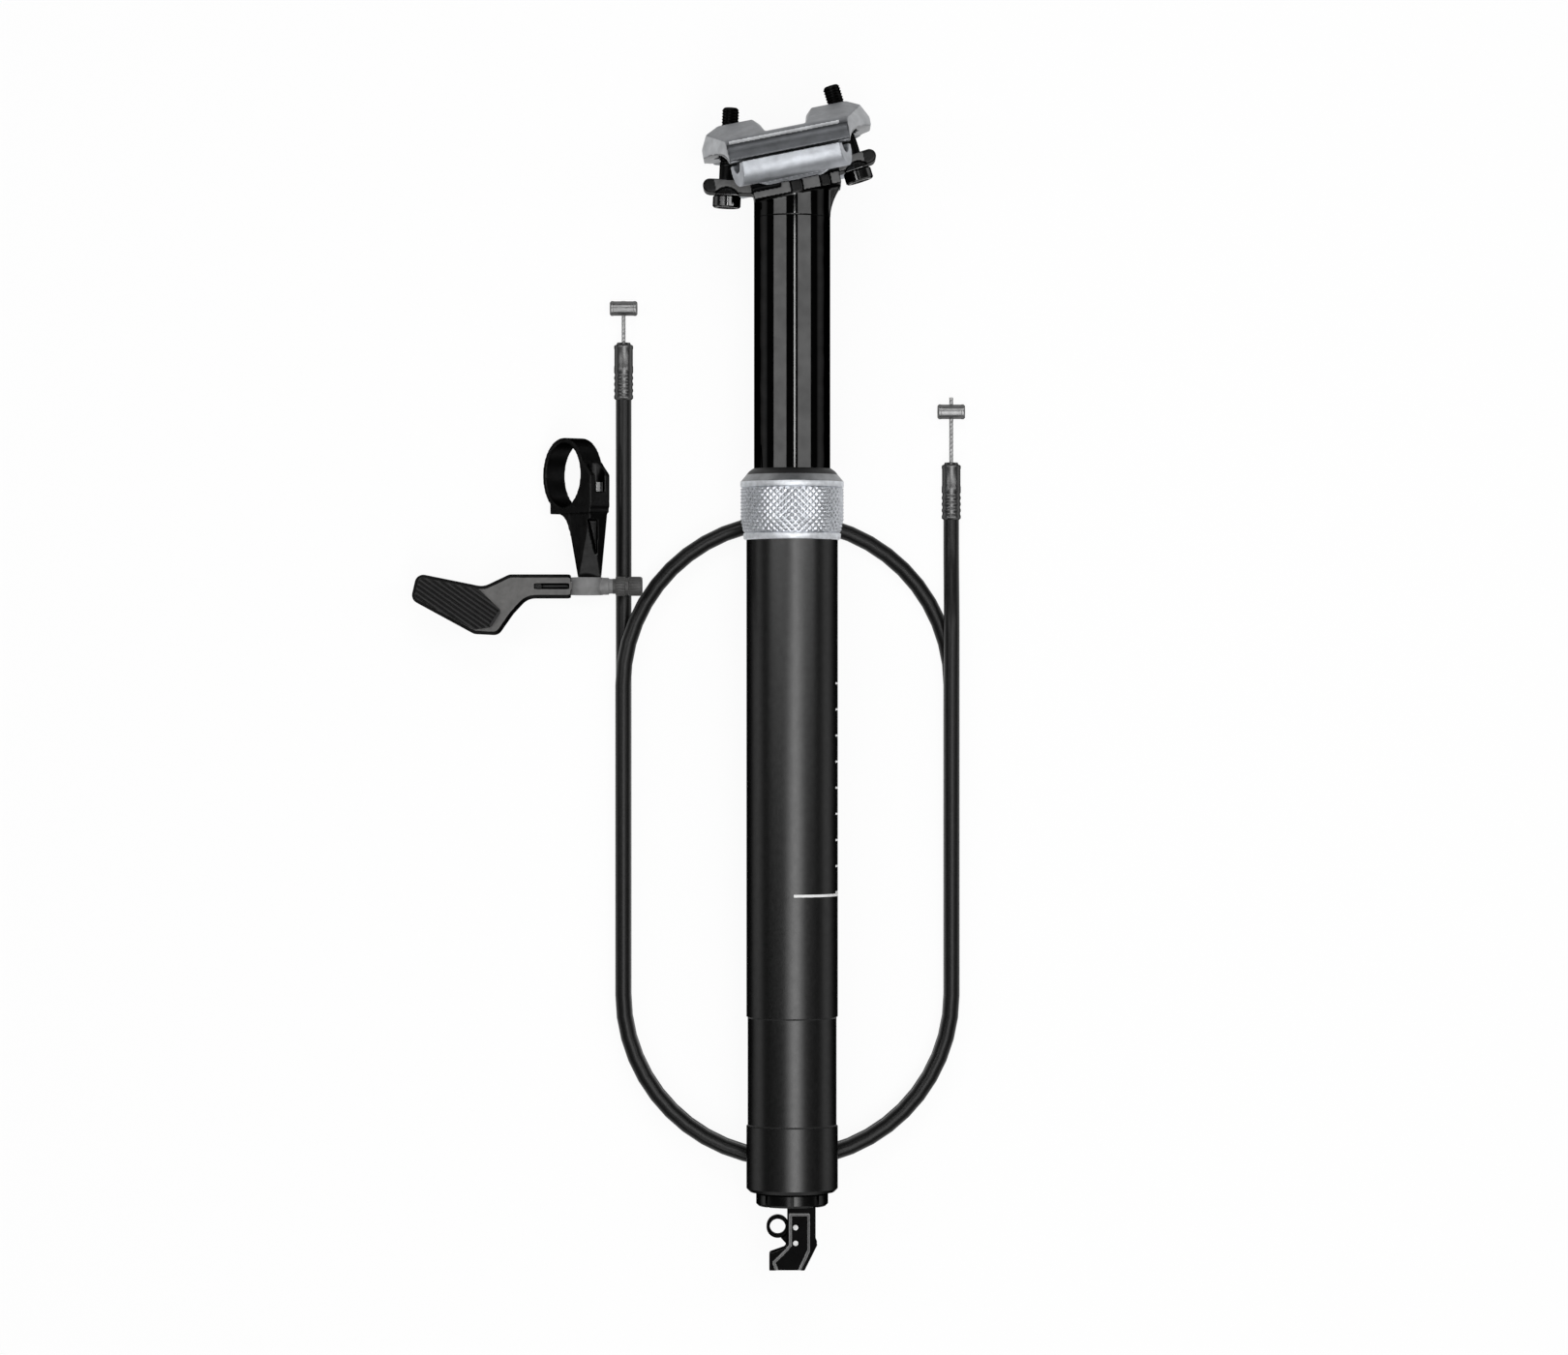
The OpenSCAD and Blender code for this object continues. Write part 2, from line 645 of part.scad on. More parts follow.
module post_head() {
    flange = [30.4, 8.1, 2 * head_half];
    flange_at = [-13.8, -8.3, -head_half];
    corner = [flange_at.x + flange.x, flange_at.y];
    corner_at = [corner.x * cos(head_slope) - corner.y * sin(head_slope) - wing_offset,
        corner.x * sin(head_slope) + corner.y * cos(head_slope) + head_y];
    web_w = 8;
    notches = [[-9.4, -4.4], [1.4, -6], [11.4, -6]];
    notch_sizes = [[11, 2.6], [4.2, 5.6], [3.6, 5.6]];
    notch_depth = 1.4;
    wall_top = bar_foot - loose;
    color("#141414") difference() {
        union() {
            ring(post_ri, rod_r, boss_foot, head_base + eps);
            ring(post_r, 0, head_base, head_y);
            head_frame() translate(flange_at) cube(flange);
            translate([0, 0, -web_w / 2]) linear_extrude(web_w)
                polygon([[0, head_base], each flare(corner_at), [0, corner_at.y]]);
            head_frame() difference() {
                for (s = [-1, 1]) wing(s);
                for (s = [-1, 1]) {
                    bolt_line(s) cylinder(r = bolt_d / 2 + bolt_room, h = bolt_len);
                    translate([s * bolt_reach, bolt_y, 0])
                        cylinder(r = seat_r + run, h = wing_w + 2 * past, center = true);
                }
            }
        }
        head_frame() translate([setback, trough_y, 0])
            cylinder(r = trough_r, h = 2 * trough_half, center = true);
        for (side = [0, 1]) mirror([0, 0, side]) head_frame() {
            translate([flange_at.x - past, wall_top, trough_half - eps])
                cube([flange.x + 2 * past, trough_r, trough_wall + past]);
            for (i = [0 : len(notches) - 1]) translate([notches[i].x, notches[i].y, head_half - notch_depth])
                linear_extrude(through) square(notch_sizes[i], center = true);
        }
        ring(rod_r, 0, boss_foot - past, rod_top);
    }
}

// Rails' grooves, cut from both halves of the clamp
module rails() {
    for (z = [-1, 1]) translate([setback, rail_y, z * rail_gap / 2]) rotate([0, 90, 0])
        cylinder(d = rail_d, h = 2 * clamp_len, center = true);
}

// A bar round a rail: its round back at one height and its flat face at another
module rail_bar(z, round_y, face_y) {
    translate([setback - clamp_len / 2, 0, z * rail_gap / 2]) {
        translate([0, round_y, 0]) rotate([0, 90, 0]) cylinder(r = bar_half, h = clamp_len);
        translate([0, min(round_y, face_y), -bar_half])
            cube([clamp_len, abs(face_y - round_y), 2 * bar_half]);
    }
}

module lower_cradle() {
    face_y = rail_y - half_gap;
    inner = rail_gap / 2 - bar_half / 2;
    end_slant = 18;
    color("#b9bcc0") head_frame() difference() {
        union() {
            difference() {
                intersection() {
                    translate([setback, trough_y, 0])
                        cylinder(r = trough_r - run, h = 2 * inner, center = true);
                    translate([setback - block_half, face_y - trough_r, -inner])
                        cube([2 * block_half, trough_r, 2 * inner]);
                }
                for (side = [0, 1]) mirror([0, 0, side])
                    translate([setback - clamp_len / 2, web_y - trough_r, trough_half - loose])
                    cube([clamp_len, trough_r, inner]);
            }
            for (z = [-1, 1]) rail_bar(z, bar_foot + bar_half, face_y);
        }
        for (end = [0, 1], side = [0, 1]) translate([setback, 0, 0]) mirror([end, 0, 0]) mirror([0, 0, side])
            translate([clamp_len / 2, bar_foot - past, rail_gap / 2 - bar_half]) rotate([0, -end_slant, 0])
            cube([bar_half, 2 * trough_r, 4 * bar_half]);
        translate([setback - clamp_len, face_y, -rail_gap])
            cube([2 * clamp_len, bar_half, 2 * rail_gap]);
        rails();
    }
}

// One lobe of the upper clamp: the tall middle with its nose, drawn over to both bars
module lobe(side) {
    lobe_half = 9;
    lobe_edge = 2.4;
    bar_end = setback + side * clamp_len / 2;
    lobe_in = setback + side * 7;
    nose = setback + side * nose_reach;
    hull() {
        translate([0, 0, -lobe_half]) linear_extrude(2 * lobe_half)
            polygon([[lobe_in, bar_top], [lobe_in + side, lobe_y - lobe_edge],
                [lobe_in + side * (1 + lobe_edge), lobe_y], [nose - side * 7, lobe_y],
                [nose - side * 2.4, lobe_y - 2.2], [nose, lobe_y - 7], [nose, lobe_y - 11.6],
                [bar_end, rail_y + 3]]);
        for (z = [-1, 1]) translate([lobe_in, bar_top - bar_half, z * rail_gap / 2])
            rotate([0, 90 * side, 0]) cylinder(r = bar_half, h = abs(bar_end - lobe_in), $fn = 32);
    }
}

module upper_clamp() {
    face_y = rail_y + half_gap;
    inner = rail_gap / 2 - bar_half;
    deck_y = 9.4;
    wide = 2 * nose_reach + 2 * nut_len;
    color("#a9adb2") head_frame() difference() {
        union() {
            lobe(-1);
            lobe(1);
            for (z = [-1, 1]) rail_bar(z, bar_top - bar_half, face_y);
        }
        rails();
        translate([setback - wide / 2, face_y - bar_half, -wide / 2]) cube([wide, bar_half, wide]);
        translate([setback - wide / 2, 0, -inner]) cube([wide, deck_y, 2 * inner]);
        for (s = [-1, 1]) {
            fillet_x = setback + s * (clamp_len / 2 + nose_fillet);
            translate([fillet_x, rail_y, 0]) cylinder(r = nose_fillet, h = wide, center = true);
            translate([fillet_x + s * wide / 2, rail_y + nose_fillet - wide / 2, 0])
                cube(wide, center = true);
            translate([nut_x(s), nut_y, 0]) cylinder(r = nut_r + run, h = nut_len + 2 * loose, center = true);
            translate([nut_x(s) - nut_r - run, 0, -nut_len / 2 - loose])
                cube([nut_d + 2 * run, nut_y, nut_len + 2 * loose]);
            for (a = [-1.4 * tilt, 0, 1.4 * tilt]) translate([nut_x(s), nut_y, 0])
                rotate([0, 0, lean_of(s) + a]) rotate([-90, 0, 0])
                cylinder(r = bolt_d / 2 + bolt_room, h = bolt_len, center = true);
        }
    }
}

module clamp_bolt_solid(side) {
    color("#121212") head_frame() bolt_line(side) difference() {
        union() {
            translate([0, 0, -bolt_head_h / 2]) cylinder(d = bolt_head_d, h = bolt_head_h);
            cylinder(d = bolt_d, h = bolt_len);
        }
        translate([0, 0, -bolt_head_h]) cylinder(d = bolt_d * 0.95, h = bolt_head_h, $fn = 6);
    }
}

// Half-round washer: its back rocks in a groove across the wing
module swivel_washer(side) {
    color("#1e1e1e") head_frame() bolt_line(side) difference() {
        rotate([90, 0, 0]) cylinder(r = seat_r, h = washer_len, center = true);
        translate([-seat_r - past, -wing_w, bolt_head_h / 2 - 2 * seat_r])
            cube([2 * seat_r + 2 * past, 2 * wing_w, 2 * seat_r]);
        cylinder(d = bolt_d, h = 4 * seat_r, center = true);
    }
}

module barrel_nut(side) {
    color("#8f9396") head_frame() translate([nut_x(side), nut_y, 0]) difference() {
        cylinder(d = nut_d, h = nut_len, center = true);
        rotate([0, 0, lean_of(side)]) rotate([-90, 0, 0])
            cylinder(r = bolt_d / 2 + bolt_room, h = bolt_len, center = true);
    }
}

// The frame of the handlebar, with its axis along z
module bar_frame() {
    translate(bar_centre) rotate([0, -bar_turn, 0]) children();
}

module bar_clamp() {
    foot_h = 4;
    stem_edge = 0.4;
    stem_w = 7.9;
    stem_t = 6.8;
    foot_x = -8.2;
    foot_y = -bar_ro - stem_skirt;
    foot_end = lug_end - 0.4;
    stem_x = 2;
    stem_end = lug_end - 1;
    lug_slope = 4.6;
    fillet_r = 8;
    fillet_x = stem_x + 1.5;
    recess_depth = 1.4;
    recess = [[pivot_x + 0.6, pivot_y + 23], [pivot_x + 4.2, pivot_y + 23], [pivot_x + 3.8, pivot_y + 8.5]];
    color("#1c1c1d") difference() {
        union() {
            bar_frame() cylinder(r = bar_ro, h = bar_w, center = true);
            bar_frame() translate([0, 0, -bar_w / 2]) linear_extrude(bar_w)
                polygon([[bar_r - 3, lug_top + 1], [bar_ro - 0.4, lug_top], [lug_end, lug_top - lug_slope],
                    [lug_end, foot_y + foot_h / 2], [bar_r - 3, foot_y + foot_h / 2]]);
            bar_frame() translate([fillet_x, foot_y, -bar_w / 2 + stem_edge])
                linear_extrude(bar_w - 2 * stem_edge) difference() {
                    translate([-fillet_r, -fillet_r]) square([fillet_r, fillet_r + foot_h / 2]);
                    translate([-fillet_r, -fillet_r]) circle(r = fillet_r);
                }
            bar_frame() translate([foot_x, foot_y, -bar_w / 2]) cube([foot_end - foot_x, foot_h, bar_w]);
            hull() {
                bar_frame() translate([stem_x, foot_y + stem_edge, -bar_w / 2 + stem_edge])
                    cube([stem_end - stem_x, foot_h - 2 * stem_edge, bar_w - 2 * stem_edge]);
                translate([pivot_x - 2.9, pivot_y + block_h / 2, lever_z - stem_t / 2])
                    cube([stem_w, past, stem_t]);
            }
        }
        bar_frame() cylinder(r = bar_r, h = through, center = true);
        bar_frame() translate([0, lug_split - pinch_gap / 2, -bar_w])
            cube([2 * lug_x, pinch_gap, 2 * bar_w]);
        bar_frame() translate([lug_x, pinch_tip - loose, 0]) rotate([-90, 0, 0])
            cylinder(d = pinch_d, h = 30);
        bar_frame() translate([lug_x, pinch_seat, 0]) rotate([-90, 0, 0])
            cylinder(d = pinch_head_d + 2 * loose, h = 20);
        translate(pivot_at) rotate([-90, 0, 0]) cylinder(d = pivot_d, h = block_h / 2 + pivot_grip);
        translate([0, 0, lever_z + stem_t / 2 - recess_depth]) linear_extrude(through) polygon(recess);
    }
}

module clamp_bolt() {
    head_h = 3.2;
    hex_d = 2.8;
    shank = pinch_seat - pinch_tip;
    color("#3b3d3f") bar_frame() translate([lug_x, pinch_tip, 0]) rotate([-90, 0, 0]) difference() {
        union() {
            cylinder(d = pinch_d, h = shank);
            translate([0, 0, shank]) cylinder(d = pinch_head_d, h = head_h);
        }
        translate([0, 0, shank + head_h / 2]) cylinder(d = hex_d, h = head_h, $fn = 6);
    }
}

// The lever's eye sits in a pocket that is closed above
module remote_body() {
    web_x = eye_r + loose;
    tongue_room = tongue_h + loose;
    neck_step = 0.8;
    color("#4a4c4e") difference() {
        union() {
            translate([pivot_x, pivot_y - block_h / 2, lever_z]) rotate([-90, 0, 0])
                cylinder(r = block_w / 2, h = block_h);
            translate([pivot_x + web_x, pivot_y, lever_z]) rotate([0, 90, 0])
                cylinder(d = neck_d, h = block_w / 2 - web_x + 2.2);
            translate([pivot_x + web_x, pivot_y, lever_z]) rotate([0, 90, 0])
                cylinder(d = neck_d - neck_step, h = neck_end - pivot_x - web_x);
        }
        translate([pivot_x - block_w, pivot_y - tongue_room / 2, lever_z - block_w])
            cube([block_w + web_x, tongue_room, block_w + lever_t / 2 + loose]);
        translate(pivot_at) rotate([90, 0, 0]) cylinder(r = web_x, h = tongue_room, center = true);
        translate(pivot_at) rotate([90, 0, 0]) cylinder(d = pivot_d, h = 2 * block_w, center = true);
        translate(pivot_at) rotate([0, 90, 0]) cylinder(d = wire_hole_d, h = 2 * block_w);
    }
}

module pivot_bolt() {
    hex_depth = 1.4;
    color("#8d9093") translate([pivot_x, pivot_y - block_h / 2, lever_z]) rotate([-90, 0, 0])
        difference() {
            cylinder(d = pivot_d, h = block_h + pivot_grip);
            translate([0, 0, -past]) cylinder(d = pivot_d * 0.6, h = past + hex_depth, $fn = 6);
        }
}

// Outline of the lever and its paddle in plan, and the radii of its outer and inner corners
paddle = [[-132.7, -20.4], [-130.6, -11.2], [-107.4, -15.9], [-98.4, -11.6], [-75, -11.6], [-75, -20],
    [-92, -20], [-97, -25.4], [-102.2, -32.8], [-110.6, -32.4]];
paddle_r = 3;
hollow_r = 6;
// Outline of the ribbed grip on the paddle, and its lip
grip = [[-131.4, -19.8], [-129.6, -12.5], [-109, -16.7], [-101, -24.4], [-104.6, -30], [-110.6, -30.9]];
grip_r = 1.4;
lip_from = [-101.8, -24.9];
lip_to = [-104.8, -29.4];
lip_w = 0.9;
lip_h = 0.3;
grip_centre = [-117.5, -21];
rib_slope = -35;
rib_pitch = 1.5;
rib_w = 0.8;
pad_t = 0.8;
screw_at = [-88.4, pivot_y];
screw_d = 2.4;
screw_deep = 1.4;

// A plan outline with its corners rounded
module soft_plan(points, outer_r, inner_r) {
    offset(r = outer_r) offset(r = -outer_r - inner_r) offset(delta = inner_r) polygon(points);
}

module thumb_lever() {
    slot_w = 1.8;
    slot_from = screw_at.x - 1.2;
    slot_to = pivot_x - block_w / 2 - 2 * loose;
    slot_floor = 0.8;
    tongue_from = pivot_x - 8.5;
    bevel = 1.1;
    bevel_steps = 3;
    color("#5b5d5f") difference() {
        union() {
            difference() {
                for (i = [0 : bevel_steps]) translate([0, 0, lever_z - lever_t / 2])
                    linear_extrude(lever_t - bevel * (1 - i / bevel_steps))
                    offset(delta = -bevel * i / bevel_steps) soft_plan(paddle, paddle_r, hollow_r);
                translate(pivot_at) rotate([90, 0, 0])
                    cylinder(r = block_w / 2 + loose, h = 4 * block_h, center = true);
            }
            translate([tongue_from, pivot_y - tongue_h / 2, lever_z - lever_t / 2])
                cube([pivot_x - tongue_from, tongue_h, lever_t]);
            translate(pivot_at) rotate([90, 0, 0]) cylinder(r = eye_r, h = tongue_h, center = true);
        }
        translate(pivot_at) rotate([90, 0, 0])
            cylinder(r = pivot_d / 2 + run, h = 2 * block_h, center = true);
        translate([slot_from, screw_at.y - slot_w / 2, lever_z - lever_t / 2 + slot_floor])
            cube([slot_to - slot_from, slot_w, lever_t]);
        translate([screw_at.x, screw_at.y, lever_z - lever_t / 2 - past])
            cylinder(d = screw_d, h = past + screw_deep);
    }
}

module thumb_pad() {
    base = lever_z + lever_t / 2;
    rib_len = 60;
    color("#2a2b2c") union() {
        translate([0, 0, base]) linear_extrude(pad_t) soft_plan(grip, grip_r, grip_r);
        intersection() {
            translate([0, 0, base]) linear_extrude(pad_t + rib_h) soft_plan(grip, grip_r, grip_r);
            for (i = [0 : rib_count - 1]) translate([grip_centre.x, grip_centre.y, base])
                rotate([0, 0, rib_slope])
                translate([-rib_len / 2, (i - (rib_count - 1) / 2) * rib_pitch - rib_w / 2, 0])
                cube([rib_len, rib_w, 2 * (pad_t + rib_h)]);
        }
        hull() for (at = [lip_from, lip_to]) translate([at.x, at.y, base])
            cylinder(d = lip_w, h = pad_t + rib_h + lip_h, $fn = 32);
    }
}

module cable_screw() {
    head_d = 4.6;
    head_h = 1.4;
    color("#8d9093") translate([screw_at.x, screw_at.y, lever_z - lever_t / 2]) union() {
        cylinder(d = screw_d, h = screw_deep);
        translate([0, 0, -head_h]) cylinder(d = head_d, h = head_h);
    }
}

module barrel_adjuster() {
    seat = 0.8;
    socket_from = 4;
    color("#2b2c2d") translate([neck_end - seat, pivot_y, lever_z]) rotate([0, 90, 0]) difference() {
        cylinder(d = barrel_d, h = barrel_len);
        translate([0, 0, socket_from]) cylinder(d = barrel_bore_d, h = barrel_len);
        translate([0, 0, -past]) cylinder(d = wire_hole_d, h = barrel_len);
        translate([0, 0, -past]) cylinder(r = neck_d / 2 - 0.4 + run, h = past + seat + loose);
    }
}

module cable_housing() {
    color("#161616") swept_tube(route, housing_d);
}

// A ferrule on a cable end: up is the way out of the coil
module ferrule(x, y) {
    grooves = 4;
    pitch = 2.2;
    groove_depth = 0.4;
    lip = 1;
    r = ferrule_d / 2;
    color("#1d1d1d") translate([x, y, ferrule_z]) rotate([-90, 0, 0]) difference() {
        cylinder(r = r, h = ferrule_len);
        translate([0, 0, -past]) cylinder(d = wire_d + 2 * loose, h = ferrule_len + 2 * past);
        for (i = [0 : grooves - 1]) translate([0, 0, 1.6 + i * pitch]) difference() {
            cylinder(r = r + past, h = pitch / 2);
            translate([0, 0, -past]) cylinder(r = r - groove_depth, h = pitch + past);
        }
        translate([0, 0, ferrule_len - lip]) difference() {
            cylinder(r = r + past, h = 2 * lip);
            translate([0, 0, -past]) cylinder(r = r - 2 * groove_depth, h = 2 * lip + 2 * past);
        }
    }
}

// A bare end of the wire: how deep it starts in the ferrule, and its nub past the nipple
module wire_end(x, y, bare, depth, nub) {
    color("#b4b8bb") translate([x, y + ferrule_len - depth, ferrule_z]) rotate([-90, 0, 0])
        cylinder(d = wire_d, h = depth + bare + nipple_d + nub);
}

module nipple(x, y, bare) {
    color("#9fa3a6") translate([x, y + ferrule_len + bare + nipple_d / 2, ferrule_z]) difference() {
        rotate([0, 90, 0]) cylinder(d = nipple_d, h = nipple_len, center = true);
        rotate([90, 0, 0]) cylinder(d = wire_d, h = 2 * nipple_d, center = true);
    }
}

outer_tube();
collar();
wiper_seal();
upper_bush();
end_cap();
cartridge_body();
circlip();
actuator_bracket();
actuator_pins();
stanchion();
post_head();
guide_keys();
lower_bush();
cartridge_rod();
rod_piston();
top_out_bumper();
rod_nut();
lower_cradle();
upper_clamp();
clamp_bolt_solid(-1);  // front_bolt
clamp_bolt_solid(1);  // rear_bolt
swivel_washer(-1);  // front_washer
swivel_washer(1);  // rear_washer
barrel_nut(-1);  // front_nut
barrel_nut(1);  // rear_nut
actuator_arm();
nipple_ring();
valve_pin();
bar_clamp();
clamp_bolt();
remote_body();
pivot_bolt();
thumb_lever();
thumb_pad();
cable_screw();
barrel_adjuster();
cable_housing();
ferrule(left_x, left_end);  // left_ferrule
ferrule(right_x, right_end);  // right_ferrule
wire_end(left_x, left_end, left_bare, left_depth, 0);  // left_wire
wire_end(right_x, right_end, right_bare, right_depth, wire_nub);  // right_wire
nipple(left_x, left_end, left_bare);  // left_nipple
nipple(right_x, right_end, right_bare);  // right_nipple
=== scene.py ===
"""Finishes and fine shapes of the dropper seatpost kit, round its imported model."""
import math

import bmesh
import bpy
from mathutils import Matrix, Vector
from mathutils.geometry import intersect_point_line


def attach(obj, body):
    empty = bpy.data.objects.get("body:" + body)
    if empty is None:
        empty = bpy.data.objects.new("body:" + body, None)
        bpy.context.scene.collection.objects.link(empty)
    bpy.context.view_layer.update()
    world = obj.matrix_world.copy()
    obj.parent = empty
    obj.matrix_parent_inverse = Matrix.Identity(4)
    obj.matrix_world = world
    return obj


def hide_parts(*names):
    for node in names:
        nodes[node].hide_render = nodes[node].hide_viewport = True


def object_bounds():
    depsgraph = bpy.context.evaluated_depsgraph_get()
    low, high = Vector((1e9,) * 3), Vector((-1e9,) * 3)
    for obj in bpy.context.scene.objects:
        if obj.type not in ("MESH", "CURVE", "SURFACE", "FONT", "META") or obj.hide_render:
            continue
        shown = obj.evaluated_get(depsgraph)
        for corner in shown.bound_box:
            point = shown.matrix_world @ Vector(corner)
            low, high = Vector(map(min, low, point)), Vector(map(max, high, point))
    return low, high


MM = 0.001
TURN = 2 * math.pi
WELD = 1e-6

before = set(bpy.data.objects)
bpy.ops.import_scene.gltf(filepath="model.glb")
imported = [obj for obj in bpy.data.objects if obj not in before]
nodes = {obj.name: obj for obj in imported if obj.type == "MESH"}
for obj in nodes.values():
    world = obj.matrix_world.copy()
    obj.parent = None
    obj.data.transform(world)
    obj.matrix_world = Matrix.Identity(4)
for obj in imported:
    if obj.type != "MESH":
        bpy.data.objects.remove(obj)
cad_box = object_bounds()
bpy.context.scene.view_settings.view_transform = "Standard"

# Camera: the photograph looks straight down on the layout
PHOTO_WIDTH_PX = 1620
PX = 0.3344 * MM
VIEW_CENTRE = Vector((-2.8, -47.5, 0)) * MM
VIEW_HEIGHT = 1739 * MM
SENSOR_MM = 36


def make_camera():
    data = bpy.data.cameras.new("camera")
    data.sensor_width = SENSOR_MM
    data.lens = SENSOR_MM * VIEW_HEIGHT / (PHOTO_WIDTH_PX * PX)
    data.clip_end = 40
    camera = bpy.data.objects.new("camera", data)
    camera.location = VIEW_CENTRE + Vector((0, 0, VIEW_HEIGHT))
    bpy.context.collection.objects.link(camera)
    bpy.context.scene.camera = camera


make_camera()


# Meshes
def add_object(name, data):
    obj = bpy.data.objects.new(name, data)
    bpy.context.collection.objects.link(obj)
    return obj


def add_mesh(name, bm, sharp_deg=35):
    """A smooth-shaded object from a bmesh, with its edges above an angle kept sharp."""
    bmesh.ops.recalc_face_normals(bm, faces=bm.faces)
    mesh = bpy.data.meshes.new(name)
    bm.to_mesh(mesh)
    bm.free()
    mesh.shade_smooth()
    mesh.set_sharp_from_angle(angle=math.radians(sharp_deg))
    return add_object(name, mesh)


def along(origin, axis):
    """The matrix that puts Z along an axis, in millimetres from an origin."""
    turn = Vector((0, 0, 1)).rotation_difference(Vector(axis)).to_matrix().to_4x4()
    return Matrix.Translation(Vector(origin) * MM) @ turn @ Matrix.Scale(MM, 4)


def lathe(name, profile, place, sides=96, closed=False, sharp_deg=35):
    """A turned solid: profile points are (radius, station) or (radius, station, shape).

    A shape is a function of the angle that gives a length to add to the radius.
    An open profile is capped at both ends, and a closed one runs back to its start.
    """
    bm = bmesh.new()
    rings = []
    for radius, station, *shape in profile:
        ring = []
        for i in range(sides):
            a = TURN * i / sides
            r = radius + (shape[0](a) if shape else 0)
            ring.append(bm.verts.new(place @ Vector((r * math.cos(a), r * math.sin(a), station))))
        rings.append(ring)
    pairs = list(zip(rings, rings[1:]))
    if closed:
        pairs.append((rings[-1], rings[0]))
    for low, high in pairs:
        for i in range(sides):
            j = (i + 1) % sides
            bm.faces.new((low[i], low[j], high[j], high[i]))
    if not closed:
        bm.faces.new(rings[0])
        bm.faces.new(rings[-1])
    return add_mesh(name, bm, sharp_deg)


def spaced(start, stop, step):
    """Stations from start to stop, both included, about a step apart."""
    count = max(1, round(abs(stop - start) / step))
    return [start + (stop - start) * i / count for i in range(count + 1)]


def wave(x):
    """A triangle wave: 0 at whole numbers, 1 halfway between them."""
    return 1 - abs(2 * (x - math.floor(x)) - 1)


def welded(node):
    """A bmesh of a CAD node, with its faces joined."""
    bm = bmesh.new()
    bm.from_mesh(nodes[node].data)
    bmesh.ops.remove_doubles(bm, verts=bm.verts, dist=WELD)
    return bm


def softened(node, width):
    """A copy of a CAD node with its edges rounded, which stands for the node."""
    flat = math.radians(0.5)
    sharp = math.radians(30)
    bm = welded(node)
    bmesh.ops.dissolve_limit(bm, angle_limit=flat, verts=bm.verts, edges=bm.edges)
    edges = [e for e in bm.edges if len(e.link_faces) == 2 and e.calc_face_angle(0) > sharp]
    bmesh.ops.bevel(bm, geom=edges, offset=width * MM, segments=3, profile=0.5,
                    affect="EDGES", clamp_overlap=False, harden_normals=False)
    piece = add_mesh("soft_" + node, bm, sharp_deg=40)
    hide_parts(node)
    return piece


def rounded(node, voxel_mm, passes):
    """A copy of a CAD node, rounded all over as on a forging, which stands for the node."""
    rough = add_mesh("rough_" + node, welded(node))
    remesh = rough.modifiers.new("remesh", "REMESH")
    remesh.mode = "VOXEL"
    remesh.voxel_size = voxel_mm * MM
    relax = rough.modifiers.new("relax", "SMOOTH")
    relax.factor = 0.5
    relax.iterations = passes
    shaped = rough.evaluated_get(bpy.context.evaluated_depsgraph_get())
    mesh = bpy.data.meshes.new_from_object(shaped)
    bpy.data.objects.remove(rough)
    mesh.shade_smooth()
    piece = add_object("soft_" + node, mesh)
    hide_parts(node)
    return piece


# Finishes
def link(tree, output, socket):
    tree.links.new(output, socket)


def finish(name, colour, rough, metallic=0.0, specular=0.5, rim=1.0, grain_mm=0.6, mottle=0.15,
           rough_vary=0.06, bump_mm=0.01, stretch=(1, 1, 1)):
    """A surface with a grain: its colour and roughness vary with a noise, and a finer noise dents it.

    The rim is the share of a metal's gloss that is left where the surface turns away.
    """
    broad_grains, middle_grains = 8, 3
    least_rough = 0.02
    material = bpy.data.materials.new(name)
    material.use_nodes = True
    tree = material.node_tree
    shader = tree.nodes["Principled BSDF"]
    shader.inputs["Metallic"].default_value = metallic
    shader.inputs["Specular IOR Level"].default_value = specular
    shader.inputs["Specular Tint"].default_value = (rim, rim, rim, 1)

    place = tree.nodes.new("ShaderNodeTexCoord")
    scale = tree.nodes.new("ShaderNodeMapping")
    scale.inputs["Scale"].default_value = stretch
    link(tree, place.outputs["Object"], scale.inputs["Vector"])

    def noise(size_mm, detail):
        texture = tree.nodes.new("ShaderNodeTexNoise")
        texture.inputs["Scale"].default_value = 1 / (size_mm * MM)
        texture.inputs["Detail"].default_value = detail
        link(tree, scale.outputs["Vector"], texture.inputs["Vector"])
        return texture.outputs["Fac"]

    broad = noise(broad_grains * grain_mm, 3)
    tint = tree.nodes.new("ShaderNodeValToRGB")
    dark, light = tint.color_ramp.elements
    dark.position, light.position = 0.3, 0.7
    dark.color = (*[c * (1 - mottle) for c in colour], 1)
    light.color = (*[min(1, c * (1 + mottle)) for c in colour], 1)
    link(tree, broad, tint.inputs["Fac"])
    link(tree, tint.outputs["Color"], shader.inputs["Base Color"])

    spread = tree.nodes.new("ShaderNodeMapRange")
    spread.inputs["To Min"].default_value = max(least_rough, rough - rough_vary)
    spread.inputs["To Max"].default_value = rough + rough_vary
    link(tree, noise(middle_grains * grain_mm, 2), spread.inputs["Value"])
    link(tree, spread.outputs["Result"], shader.inputs["Roughness"])

    dents = tree.nodes.new("ShaderNodeBump")
    dents.inputs["Strength"].default_value = 0.5
    dents.inputs["Distance"].default_value = bump_mm * MM
    link(tree, noise(grain_mm, 2), dents.inputs["Height"])
    link(tree, dents.outputs["Normal"], shader.inputs["Normal"])
    return material


def grey(level, warmth=0.0):
    """A grey of a linear level, warmer or cooler by a share."""
    return (level * (1 + warmth), level, level * (1 - warmth))


